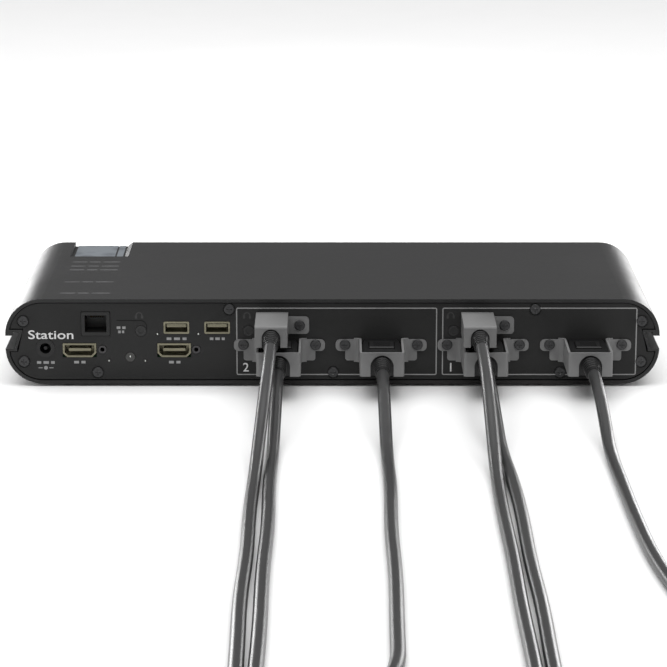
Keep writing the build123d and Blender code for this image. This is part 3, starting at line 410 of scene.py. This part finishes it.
def rounded_outline(width: float, height: float, radius: float, steps: int = 6) -> Flat:
    """Points of a round-cornered rectangle about (0, 0), anticlockwise.

    Args:
        width: Its width.
        height: Its height.
        radius: Radius of its corners.
        steps: Straight steps in each corner.

    Returns:
        The points.
    """
    points = []
    for k, (sx, sy) in enumerate(((1, 1), (-1, 1), (-1, -1), (1, -1))):
        cx, cy = sx * (width / 2 - radius), sy * (height / 2 - radius)
        for i in range(steps + 1):
            angle = math.pi / 2 * (k + i / steps)
            points.append((cx + radius * math.cos(angle), cy + radius * math.sin(angle)))
    return points


def arc(x: float, z: float, radius: float, turns: list[float]) -> Flat:
    """Points on a circle about (x, z), at the angles given."""
    return [(x + radius * math.cos(a), z + radius * math.sin(a)) for a in turns]


def close_loops(work: bmesh.types.BMesh, rings: list[list[Vector]]) -> None:
    """Adds a skin over closed rings, the last of them joined to the first.

    Args:
        work: The bmesh.
        rings: Rings that have the same number of points.
    """
    loops = [[work.verts.new(p) for p in ring] for ring in rings]
    for a, b in zip(loops, loops[1:] + loops[:1]):
        for i in range(len(a)):
            j = (i + 1) % len(a)
            work.faces.new((a[i], a[j], b[j], b[i]))


def text_mesh(
    name: str, text: str, height: float, bold: float = 0.0, steps: int = 12
) -> bpy.types.Mesh:
    """Flat lettering as a mesh, in the XY plane.

    Args:
        name: Name of the mesh.
        text: What it says.
        height: Height of its capitals in millimetres.
        bold: How much its strokes grow, in millimetres.
        steps: Straight steps in each bend.

    Returns:
        The mesh.
    """
    curve = bpy.data.curves.new(name, "FONT")
    curve.body = text
    curve.align_x = "CENTER"
    curve.size = height / CAPITAL_SHARE * MM
    curve.offset = bold * MM
    curve.extrude = INK_T / 2 * MM
    curve.resolution_u = steps
    shown = bpy.data.objects.new(name + "_curve", curve)
    bpy.context.scene.collection.objects.link(shown)
    depsgraph = bpy.context.evaluated_depsgraph_get()
    mesh = bpy.data.meshes.new_from_object(shown.evaluated_get(depsgraph))
    bpy.data.objects.remove(shown)
    mesh.name = name
    return mesh


# ---- Cords -------------------------------------------------------------------------------------
@dataclass
class Cord:
    """One free cord: its route on the surface, its coil and the plugs at both ends."""

    kind: str
    number: int
    route: tuple[Point, ...]
    centre: tuple[float, float]
    heading: float
    side: int
    turns: float
    far_node: str
    diameter: float = 6.8
    length: float = 1.8
    outer: float = 44.3
    inner: float = 30.7
    stub: float = 26.0
    tail_radius: float = 28.0
    tail_turn: float = 115.0
    per_turn: int = 16

    @property
    def tube(self) -> str:
        """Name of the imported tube."""
        return f"{self.kind}_cord_{self.number}"

    @property
    def coil(self) -> str:
        """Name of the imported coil."""
        return f"{self.kind}_coil_{self.number}"

    @property
    def plug(self) -> str:
        """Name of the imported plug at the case."""
        return f"{self.kind}_plug_{self.number}"

    def rear(self) -> float:
        """The case's rear rim along Y, in millimetres."""
        return low_high("top_shell")[0].y / MM

    def point(self, x: float, distance: float, z: float) -> Vector:
        """A point given in millimetres by its distance out from the rear rim."""
        return Vector((x, self.rear() - distance, z)) * MM

    def exit(self) -> Vector:
        """End of the plug's strain relief, where the cord comes out."""
        low, high = low_high(self.plug)
        x, _, z = self.route[0]
        return Vector((x * MM, low.y, z * MM))

    def entry(self) -> tuple[Vector, Vector]:
        """Where the cord meets its coil.

        Returns:
            The place and the heading there.
        """
        angle = math.radians(self.heading)
        ahead = Vector((math.sin(angle), -math.cos(angle), 0))
        across = Vector((math.cos(angle), math.sin(angle), 0))
        centre = self.point(*self.centre, self.diameter / 2)
        return centre - across * (self.side * self.outer * MM), ahead

    def turn_radius(self, turn: float) -> float:
        """Radius of the wound cord: in on the lower layer, out on the upper.

        Args:
            turn: How many turns are wound.

        Returns:
            The radius in millimetres.
        """
        along = min(turn, self.turns - turn)
        whole = math.floor(along)
        slip = min(max((along - whole - 0.75) / 0.25, 0.0), 1.0)
        return max(self.outer - self.diameter * (whole + slip), self.inner)

    def turn_height(self, turn: float) -> float:
        """Height of the wound cord after some turns."""
        share = min(max((turn - self.turns / 2) / 0.2 + 0.5, 0.0), 1.0)
        return self.diameter * (0.5 + share)

    def coil_points(self) -> list[Vector]:
        """Points of all the turns, from where the cord comes in.

        Returns:
            The points, in order.
        """
        centre = self.point(*self.centre, 0)
        touch, _ = self.entry()
        first = math.atan2(touch.y - centre.y, touch.x - centre.x)
        count = round(self.turns * self.per_turn)
        points = []
        for i in range(count + 1):
            turn = self.turns * i / count
            angle = first + self.side * 2 * math.pi * turn
            radius = self.turn_radius(turn)
            spoke = Vector((math.cos(angle), math.sin(angle), 0)) * radius
            points.append(centre + (spoke + Vector((0, 0, self.turn_height(turn)))) * MM)
        return points

    def tail_points(self) -> list[Vector]:
        """Points of the tail, from the last turn over the coil to its plug's strain relief.

        Returns:
            The points, in order.
        """
        centre = self.point(*self.centre, 0)
        touch, _ = self.entry()
        first = math.atan2(touch.y - centre.y, touch.x - centre.x)
        last = first + self.side * 2 * math.pi * self.turns
        spoke = Vector((math.cos(last), math.sin(last), 0))
        hub = centre + spoke * (self.outer - self.tail_radius) * MM
        low_z = self.turn_height(self.turns)
        high_z = low_high(self.far_node)[0].z / MM + self.lie()
        points = []
        steps = 8
        for i in range(1, steps + 1):
            share = i / steps
            angle = last + self.side * math.radians(self.tail_turn) * share
            z = low_z + (high_z - low_z) * math.sin(math.pi / 2 * share)
            spoke = Vector((math.cos(angle), math.sin(angle), 0)) * self.tail_radius
            points.append(hub + (spoke + Vector((0, 0, z))) * MM)
        return points

    def lie(self) -> float:
        """Half the thickness of the grip of the plug that lies on the coil."""
        return 6.5 if self.kind == "video" else 4.1

    def points(self) -> list[Vector]:
        """All the points of the cord's own spline."""
        touch, ahead = self.entry()
        run = [self.exit()] + [self.point(*p) for p in self.route]
        return run + [touch - ahead * self.stub * MM] + self.coil_points() + self.tail_points()

    def build(self) -> bpy.types.Object:
        """Returns:
            The curve object.
        """
        curve = bpy.data.curves.new(f"{self.kind}_lead_{self.number}", "CURVE")
        curve.dimensions = "3D"
        curve.bevel_depth = self.diameter / 2 * MM
        curve.bevel_resolution = 6
        curve.resolution_u = 8
        curve.use_fill_caps = True
        spline = curve.splines.new("NURBS")
        points = self.points()
        spline.points.add(len(points) - 1)
        for place, at in zip(spline.points, points):
            place.co = (*at, 1.0)
        spline.order_u = 3
        spline.use_endpoint_u = True
        lead = bpy.data.objects.new(curve.name, curve)
        bpy.context.scene.collection.objects.link(lead)
        curve.materials.append(JACKET.material())
        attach(lead, CASE)
        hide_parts(self.tube, self.coil)
        tie = self.build_tie()
        return lead

    def build_tie(self) -> bpy.types.Object:
        """Fabric tie round all the turns, opposite the place where the cord comes in.

        Returns:
            The tie.
        """
        centre = self.point(*self.centre, 0)
        touch, _ = self.entry()
        spoke = (centre - Vector((touch.x, touch.y, 0))).normalized()
        spoke = Matrix.Rotation(math.radians(-30 * self.side), 3, "Z") @ spoke
        along = Vector((-spoke.y, spoke.x, 0))
        middle = centre + spoke * (self.outer + self.inner) / 2 * MM
        middle += Vector((0, 0, self.diameter * MM))
        wide = (self.outer - self.inner + self.diameter + 1.0) * MM
        tall = 2 * self.diameter * MM
        work = bmesh.new()
        rings = []
        for grow, shift in ((1.4, -6.0), (1.4, 6.0), (0.0, 6.0), (0.0, -6.0)):
            flat = rounded_outline(wide + grow * MM, tall + grow * MM * 0.6, 3.0 * MM, 5)
            start = middle + along * shift * MM
            rings.append([start + spoke * a + Vector((0, 0, max(b, -middle.z))) for a, b in flat])
        close_loops(work, rings)
        name = f"{self.kind}_lead_tie_{self.number}"
        return piece(name, mesh_from(work, "tie", True), TIE)


VIDEO_Z = 21.0     # axis of the video plugs above the floor, in millimetres
HIGH_Z = 36.1      # axis of the peripheral plugs
FLOOR = 3.4        # axis of a cord that lies on the floor


@dataclass
class Leads:
    """The six leads and what is moulded on them."""

    cords: list[Cord] = field(default_factory=lambda: [
        Cord("video", 1, (
            (-29.8, 82, VIDEO_Z), (-30.2, 110, 13.2), (-30.6, 142, FLOOR), (-31.4, 196, FLOOR),
            (-30.2, 260, FLOOR), (-31.4, 330, FLOOR), (-30.6, 404, FLOOR), (-31.4, 480, FLOOR),
            (-31.0, 556, FLOOR),
        ), (-75.3, 656.0), 0.0, -1, 4.7, "far_video_plugs"),
        Cord("video", 2, (
            (27.4, 82, VIDEO_Z), (27.7, 110, 13.2), (28.0, 143, FLOOR), (29.0, 202, FLOOR),
            (27.6, 266, FLOOR), (28.6, 332, FLOOR), (27.6, 398, FLOOR), (27.03, 459.7, FLOOR),
        ), (26.0, 556.0), -28.0, 1, 5.4, "far_video_plugs"),
        Cord("video", 3, (
            (84.8, 82, VIDEO_Z), (85.8, 110, 13.2), (87.2, 142, FLOOR), (90.0, 192, FLOOR),
            (90.8, 250, FLOOR), (90.0, 312, FLOOR), (91.2, 376, FLOOR), (90.2, 440, FLOOR),
            (90.5, 499.5, FLOOR),
        ), (151.5, 556.0), 15.0, 1, 5.3, "far_video_plugs"),
        Cord("video", 4, (
            (142.4, 82, VIDEO_Z), (142.8, 110, 13.2), (143.0, 142, FLOOR), (143.8, 194, FLOOR),
            (144.6, 252, FLOOR), (147.0, 316, FLOOR), (156.0, 384, FLOOR), (176.0, 450, FLOOR),
            (200.0, 512, FLOOR), (208.0, 574, FLOOR),
        ), (163.7, 656.0), 0.0, -1, 4.8, "far_video_plugs"),
        Cord("peripheral", 1, (
            (-33.8, 82, HIGH_Z), (-35.0, 110, 29.5), (-37.0, 144, 15.6), (-38.8, 182, FLOOR),
            (-39.8, 240, FLOOR), (-39.0, 304, FLOOR), (-40.4, 364, FLOOR), (-39.4, 424, FLOOR),
            (-39.0, 480, FLOOR),
        ), (-83.3, 556.0), 0.0, -1, 5.2, "far_usb_plugs"),
        Cord("peripheral", 2, (
            (81.3, 82, HIGH_Z), (81.6, 110, 29.5), (82.0, 144, 15.6), (82.2, 182, FLOOR),
            (81.8, 242, FLOOR), (82.6, 308, FLOOR), (82.0, 376, FLOOR), (82.8, 444, FLOOR),
            (82.2, 512, FLOOR), (82.5, 576, FLOOR),
        ), (38.2, 656.0), 0.0, -1, 4.9, "far_usb_plugs"),
    ])
    relief: float = 22.0
    relief_radii: tuple[float, float] = (3.6, 4.4)
    rings: int = 5
    ring_from: float = 3.2
    ring_pitch: float = 3.6

    def build(self) -> None:
        """Makes every lead and dresses the plugs."""
        for cord in self.cords:
            cord.build()
            dress(cord.plug, PLUG)
            LOG.info("lead %s %d", cord.kind, cord.number)
        for node in ("far_video_plugs", "far_usb_plugs"):
            dress(node, PLUG)
        for cord in self.cords:
            self.relief_rings(cord)

    def relief_rings(self, cord: Cord) -> None:
        """Moulded rings round the strain relief behind one plug.

        Args:
            cord: The cord that the plug is on.
        """
        low, _ = low_high(cord.plug)
        axis = cord.exit()
        end, root = self.relief_radii
        work = bmesh.new()
        for i in range(self.rings):
            along = self.ring_from + self.ring_pitch * i
            radius = (end + (root - end) * (1 - along / self.relief)) * MM
            y = low.y + (self.relief - along) * MM
            self.ring(work, Vector((axis.x, y, axis.z)), radius + 0.05 * MM, 0.55 * MM)
        name = f"{cord.kind}_relief_rings_{cord.number}"
        piece(name, mesh_from(work, name, True), PLUG)

    def ring(self, work: bmesh.types.BMesh, centre: Vector, radius: float, thick: float) -> None:
        """Adds a round ring about a line along Y.

        Args:
            work: The bmesh.
            centre: Its centre.
            radius: Radius of its centre line.
            thick: Half its thickness.
        """
        around, section = 28, 8
        rows = []
        for i in range(around):
            a = 2 * math.pi * i / around
            out = Vector((math.cos(a), 0, math.sin(a)))
            row = []
            for j in range(section):
                b = 2 * math.pi * j / section
                side = Vector((0, thick * 1.6 * math.sin(b), 0))
                row.append(centre + out * (radius + thick * math.cos(b)) + side)
            rows.append(row)
        close_loops(work, rows)


# ---- Case --------------------------------------------------------------------------------------
@dataclass
class Case:
    """Both shells, the end plates, the feet, the fasteners and the label in the roof."""

    faint_rows: tuple[float, ...] = (94.0, 83.0, 73.0, 42.0, 14.0)
    row_x: tuple[float, float] = (-154.0, -126.0)
    row_h: float = 1.6
    row_shares: tuple[float, ...] = (0.3, 0.22, 0.36)
    row_gap: float = 0.06

    def build(self) -> None:
        """Dresses the case and prints its faint rows."""
        dress("top_shell", CASE_PAINT)
        dress("bottom_shell", CASE_PAINT)
        dress("rear_panel", PANEL_PAINT)
        dress("front_bezel", BEZEL_PLASTIC)
        dress("rubber_feet", FOOT_RUBBER)
        for node in ("panel_screws", "case_screws", "bracket_screws"):
            dress(node, BLACK_SCREW)
        dress("seal_label", FILM)
        self.rows()
        LOG.info("case")

    def rows(self) -> None:
        """Faint printed rows on the roof behind the label."""
        low, high = low_high("top_shell")
        start, end = self.row_x
        work = bmesh.new()
        for distance in self.faint_rows:
            y = low.y + distance * MM
            x = start
            for share in self.row_shares:
                width = share * (end - start)
                corners = ((x, 0), (x + width, 0), (x + width, self.row_h), (x, self.row_h))
                outline = [Vector((a * MM, y + b * MM, high.z - 0.01 * MM)) for a, b in corners]
                prism(work, outline, Vector((0, 0, 0.04 * MM)))
                x += width + self.row_gap * (end - start)
        piece("roof_print", mesh_from(work, "roof_print"), ROOF_INK)


# ---- Connector side ----------------------------------------------------------------------------
@dataclass
class ConnectorSide:
    """Sockets, jacks and light pipes, with the print on the connector panel."""

    frames: tuple[tuple[float, float], ...] = ((-54.1, 58.8), (61.7, 171.2))
    frame_z: tuple[float, float] = (6.5, 45.6)
    line: float = 0.62
    frame_corner: float = 1.1
    numerals: tuple[tuple[str, float], ...] = (("2", -48.8), ("1", 66.7))
    numeral_z: float = 11.1
    title: str = "Station"
    title_x: tuple[float, float] = (-171.0, -145.6)
    title_z: float = 30.0
    captions: tuple[Point, ...] = (
        (-161.6, 13.8, 10.0), (-142.4, 14.0, 6.4), (-88.9, 14.0, 6.4), (-87.7, 27.6, 11.2),
        (-64.8, 27.6, 8.4), (-118.8, 34.0, 5.0), (-118.8, 31.6, 3.4),
    )
    pipes: tuple[Point, ...] = (
        (-125.9, 14.9, 0.5), (-105.5, 14.9, 0.5), (-98.4, 30.4, 0.5), (-75.4, 30.4, 0.5),
        (-113.9, 17.4, 0.6),
    )
    icons: tuple[float, ...] = (-108.6, -48.0, 66.4)
    icon_z: float = 41.0
    letter_h: float = 5.0

    def face(self) -> float:
        """The panel's outer face along Y."""
        return low_high("rear_panel")[0].y

    def build(self) -> None:
        """Dresses the connectors and prints the panel."""
        for kind in ("console_video", "video", "usb", "peripheral"):
            dress(f"{kind}_sockets", SOCKET_METAL)
        dress("lock_bushes", BUSH_METAL)
        dress("audio_jacks", BLANK)
        dress("light_pipes", PIPE)
        dress("dc_jack", HOLDER)
        dress("remote_port", HOLDER)
        self.frame_lines()
        self.caption_marks()
        self.polarity_mark()
        self.icon_marks()
        for text, x in self.numerals:
            self.letters(f"panel_number_{text}", text, x, self.numeral_z)
        left, right = self.title_x
        self.letters("panel_title", self.title, (left + right) / 2, self.title_z, right - left)
        self.contacts()
        self.curved_line()
        self.glints()
        LOG.info("connector side")

    def curved_line(self) -> None:
        """Dark line that runs from the remote port round to the sound jack."""
        start, corner, end, radius, thick = -121.3, -104.4, 33.1, 3.6, 0.45
        top = 36.7 + 1.5
        path = [(start, top), (corner - radius, top)]
        bend = [math.pi / 2 * (1 - i / 8) for i in range(1, 9)]
        path += arc(corner - radius, top - radius, radius, bend)
        path.append((corner, end))
        outlines = []
        for (x0, z0), (x1, z1) in zip(path, path[1:]):
            long = math.hypot(x1 - x0, z1 - z0)
            nx, nz = -(z1 - z0) / long * thick / 2, (x1 - x0) / long * thick / 2
            outlines.append([
                (x0 - nx, z0 - nz), (x1 - nx, z1 - nz), (x1 + nx, z1 + nz), (x0 + nx, z0 + nz),
            ])
        self.printed("curved_line", outlines, DARK_LINE)

    def glints(self) -> None:
        """Painted highlight: a small bright slit of colour at the face of each light pipe on the
        panel, not a lamp.
        """
        y = low_high("light_pipes")[0].y + 0.01 * MM
        turns = [2 * math.pi * i / 10 for i in range(10)]
        work = bmesh.new()
        for x, z, radius in self.pipes:
            flat = [(x + 0.4 * radius * math.cos(a), z + radius * math.sin(a)) for a in turns]
            prism(work, [Vector((a * MM, y, b * MM)) for a, b in flat], Vector((0, -0.04 * MM, 0)))
        piece("pipe_painted_glints", mesh_from(work, "pipe_painted_glints"), PAINTED_GLINT)

    def printed(self, name: str, outlines: list[Flat], finish: Finish) -> None:
        """One piece of print on the panel.

        Args:
            name: Name of the piece.
            outlines: Flat outlines in millimetres, x and z.
            finish: Its ink.
        """
        work = bmesh.new()
        for flat in outlines:
            outline = [Vector((x * MM, self.face() + 0.02 * MM, z * MM)) for x, z in flat]
            prism(work, outline, Vector((0, -INK_T * MM, 0)))
        piece(name, mesh_from(work, name), finish)

    def frame_lines(self) -> None:
        """White frame with round corners about each computer section."""
        z0, z1 = self.frame_z
        for number, (x0, x1) in enumerate(self.frames, 1):
            work = bmesh.new()
            centre = Vector(((x0 + x1) / 2 * MM, self.face(), (z0 + z1) / 2 * MM))
            rings = []
            for inset, y in ((0.0, 0.02), (0.0, -0.04), (self.line, -0.04), (self.line, 0.02)):
                wide, tall = x1 - x0 - 2 * inset, z1 - z0 - 2 * inset
                flat = rounded_outline(wide, tall, self.frame_corner - inset)
                rings.append([centre + Vector((a * MM, y * MM, b * MM)) for a, b in flat])
            close_loops(work, rings)
            name = f"section_frame_{number}"
            piece(name, mesh_from(work, name), INK)

    def caption_marks(self) -> None:
        """Rows of small blank marks where a maker prints captions."""
        outlines = []
        for x, z, width in self.captions:
            shares = (0.24, 0.3, 0.2) if width > 8 else (0.42, 0.36)
            gap = (1 - sum(shares)) / max(len(shares) - 1, 1)
            at, half = x - width / 2, 0.75
            for share in shares:
                far = share * width
                corners = ((0, -half), (far, -half), (far, half), (0, half))
                outlines.append([(at + a, z + b) for a, b in corners])
                at += (share + gap) * width
        self.printed("caption_marks", outlines, INK)

    def polarity_mark(self) -> None:
        """Mark under the power inlet: a dot between two short lines."""
        low, high = low_high("dc_jack")
        x, z = (low.x + high.x) / 2 / MM, 10.7
        radius, near, far, half = 1.1, 1.9, 4.2, 0.25
        dot = arc(x, z, radius, [a / 12 * 2 * math.pi for a in range(12)])
        corners = ((near, -half), (far, -half), (far, half), (near, half))
        bars = [[(x + s * a, z + b) for a, b in corners] for s in (-1, 1)]
        self.printed("polarity_mark", [dot] + bars, INK)

    def icon_marks(self) -> None:
        """Dim headset-like marks over the sound jacks."""
        outlines = []
        half_turn = [math.pi * i / 10 for i in range(11)]
        middle, half, drop = 1.7, 0.6, 1.7
        for x in self.icons:
            outer = arc(x, self.icon_z, 2.0, half_turn)
            outlines.append(outer + arc(x, self.icon_z, 1.4, half_turn[::-1]))
            for s in (-1, 1):
                cup = x + s * middle
                corners = ((-half, -drop), (half, -drop), (half, 0), (-half, 0))
                outlines.append([(cup + a, self.icon_z + b) for a, b in corners])
        self.printed("sound_marks", outlines, FAINT_INK)

    def letters(self, name: str, text: str, x: float, z: float, width: float = 0.0) -> None:
        """Flat lettering on the panel.

        Args:
            name: Name of the piece.
            text: What it says.
            x: Middle of the text in millimetres.
            z: Height of its middle in millimetres.
            width: Width to fit it to in millimetres, or 0.
        """
        mesh = text_mesh(name, text, self.letter_h, 0.05, 4)
        across = [v.co.x for v in mesh.vertices]
        fit = width * MM / (max(across) - min(across)) if width else 1.0
        turn = Matrix.Rotation(math.radians(90), 4, "X")
        foot = (z - self.letter_h / 2) * MM
        place = Matrix.Translation((x * MM, self.face() - 0.02 * MM, foot))
        mesh.transform(place @ turn @ Matrix.Diagonal((fit, 1, 1, 1)))
        piece(name, mesh, BRIGHT_INK)

    def contacts(self) -> None:
        """Eight slanted gold contacts in the remote port."""
        low, high = low_high("remote_port")
        work = bmesh.new()
        count, pitch, thick, reach, fall = 8, 1.02, 0.4, 8.0, 3.4
        middle = (low.x + high.x) / 2
        top, start = high.z - 2.1 * MM, low.y + 3.5 * MM
        side = ((0, 0), (reach, -fall), (reach, -fall - thick), (0, -thick))
        for i in range(count):
            x = middle + (i - (count - 1) / 2) * pitch * MM - thick / 2 * MM
            outline = [Vector((x, start + a * MM, top + b * MM)) for a, b in side]
            prism(work, outline, Vector((thick * MM, 0, 0)))
        piece("remote_contacts", mesh_from(work, "remote_contacts"), GOLD)


# ---- Inside ------------------------------------------------------------------------------------
@dataclass
class Inside:
    """Boards and what they carry."""

    finishes: tuple[tuple[str, Finish], ...] = (
        ("lower_board", BOARD), ("upper_board", BOARD), ("front_board", BOARD),
        ("board_chips", CHIP),
        ("tact_switches", CHIP), ("board_standoffs", PLAIN_STEEL), ("board_screws", PLAIN_STEEL),
        ("coin_cell", PLAIN_STEEL), ("coin_cell_holder", HOLDER), ("ribbon_cable", RIBBON),
    )

    def build(self) -> None:
        """Dresses every inner node."""
        for node, finish in self.finishes:
            dress(node, finish)
        LOG.info("inside")


# ---- Controls and locks ------------------------------------------------------------------------
@dataclass
class Controls:
    """Push buttons on the front and latch buttons on the video plugs."""

    number_height: float = 4.0
    ridge_count: int = 4
    ridge_from: float = 3.2
    ridge_pitch: float = 2.5

    def build(self) -> None:
        """Dresses the buttons and prints their numbers."""
        for number in (1, 2):
            node = f"port_button_{number}"
            dress(node, BUTTON)
            self.number(node, str(number))
        for number in range(1, 5):
            node = f"latch_button_{number}"
            dress(node, LATCH)
            self.ridges(node)
        LOG.info("controls")

    def number(self, node: str, text: str) -> None:
        """Number on one push button's face.

        Args:
            node: The button's node.
            text: Its number.
        """
        low, high = low_high(node)
        mesh = text_mesh(node + "_number", text, self.number_height)
        turn = Matrix.Rotation(math.pi, 4, "Z") @ Matrix.Rotation(math.radians(90), 4, "X")
        middle = (low + high) / 2
        foot = middle.z - self.number_height / 2 * MM
        place = Matrix.Translation((middle.x, high.y + 0.02 * MM, foot))
        mesh.transform(place @ turn)
        piece(node + "_number", mesh, BRIGHT_INK, node)

    def ridges(self, node: str) -> None:
        """Thumb ridges across one latch button.

        Args:
            node: The button's node.
        """
        low, high = low_high(node)
        work = bmesh.new()
        middle, z = (low.x + high.x) / 2, high.z - 0.05 * MM
        flat = rounded_outline(9.0 * MM, 1.0 * MM, 0.45 * MM, 4)
        for i in range(self.ridge_count):
            y = low.y + (self.ridge_from + self.ridge_pitch * i) * MM
            outline = [Vector((middle + a, y + b, z)) for a, b in flat]
            prism(work, outline, Vector((0, 0, 0.3 * MM)))
        piece(node + "_ridges", mesh_from(work, node + "_ridges"), LATCH, node)


@dataclass
class Locks:
    """The six brackets that hold the plugs in."""

    def build(self) -> None:
        """Dresses the brackets."""
        for number in range(1, 5):
            dress(f"video_bracket_{number}", BRACKET_PAINT)
        for number in (1, 2):
            dress(f"peripheral_bracket_{number}", BRACKET_PAINT)
        LOG.info("locks")


# ---- Studio ------------------------------------------------------------------------------------
@dataclass
class Studio:
    """Pale floor, soft light and the camera in front of the connector panel."""

    distance: float = 1.5
    eye_height: float = 0.4102
    lens: float = 148.5
    pitch: float = 14.2
    sky: float = 0.6
    low_sky: float = 0.05
    boxes: tuple[tuple[str, Point, tuple[float, float], float], ...] = (
        ("overhead", (0.0, -0.3, 2.4), (3.6, 3.2), 84.0),
        ("front_fill", (0.0, -2.6, 0.9), (2.4, 0.8), 6.0),
        ("left_side", (-0.66, 0.8, 0.22), (0.42, 0.36), 5.5),
        ("right_side", (0.66, 0.8, 0.22), (0.42, 0.36), 4.0),
    )

    def build(self) -> None:
        """Sets up camera, floor and lights."""
        self.camera()
        self.floor()
        self.lights()
        bpy.context.scene.view_settings.view_transform = "Standard"
        LOG.info("studio")

    def camera(self) -> None:
        """Long lens, straight on and a little from above."""
        data = bpy.data.cameras.new("camera")
        data.lens = self.lens
        data.sensor_width = 36.0
        data.clip_end = 50.0
        made = bpy.data.objects.new("camera", data)
        face = low_high("rear_panel")[0].y
        made.location = (0.0006, face - self.distance, self.eye_height)
        made.rotation_euler = (math.radians(90 - self.pitch), 0, 0)
        bpy.context.scene.collection.objects.link(made)
        bpy.context.scene.camera = made

    def floor(self) -> None:
        """Wide pale floor."""
        work = bmesh.new()
        bmesh.ops.create_grid(work, x_segments=1, y_segments=1, size=12)
        made = bpy.data.objects.new("floor", mesh_from(work, "floor"))
        bpy.context.scene.collection.objects.link(made)
        finish = Finish("floor_paper", (0.86, 0.86, 0.86), 0.9, vary=0.01, bump=0.0)
        made.data.materials.append(finish.material())

    def lights(self) -> None:
        """Soft boxes round the object, and a sky that is darker near the horizon."""
        world = bpy.data.worlds.new("sky")
        bpy.context.scene.world = world
        world.use_nodes = True
        tree = world.node_tree
        tree.nodes["Background"].inputs["Color"].default_value = (1.0, 1.0, 1.0, 1.0)
        coords = tree.nodes.new("ShaderNodeTexCoord")
        parts = tree.nodes.new("ShaderNodeSeparateXYZ")
        rise = tree.nodes.new("ShaderNodeMapRange")
        rise.inputs["From Max"].default_value = 0.7
        rise.inputs["To Min"].default_value = self.low_sky
        rise.inputs["To Max"].default_value = self.sky
        tree.links.new(coords.outputs["Generated"], parts.inputs["Vector"])
        tree.links.new(parts.outputs["Z"], rise.inputs["Value"])
        tree.links.new(rise.outputs["Result"], tree.nodes["Background"].inputs["Strength"])
        for name, place, size, power in self.boxes:
            data = bpy.data.lights.new(name, "AREA")
            data.shape = "RECTANGLE"
            data.size, data.size_y = size
            data.energy = power
            lamp = bpy.data.objects.new(name, data)
            lamp.location = place
            lamp.visible_camera = False
            aim = Vector((0, 0, 0.02)) - Vector(place)
            lamp.rotation_euler = aim.to_track_quat("-Z", "Y").to_euler()
            bpy.context.scene.collection.objects.link(lamp)


def main() -> None:
    """Builds every sub-assembly in order."""
    logging.basicConfig(level=logging.INFO)
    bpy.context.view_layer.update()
    for part in (Studio(), Leads(), Case(), ConnectorSide(), Inside(), Controls(), Locks()):
        part.build()


if __name__ == "__main__":
    main()
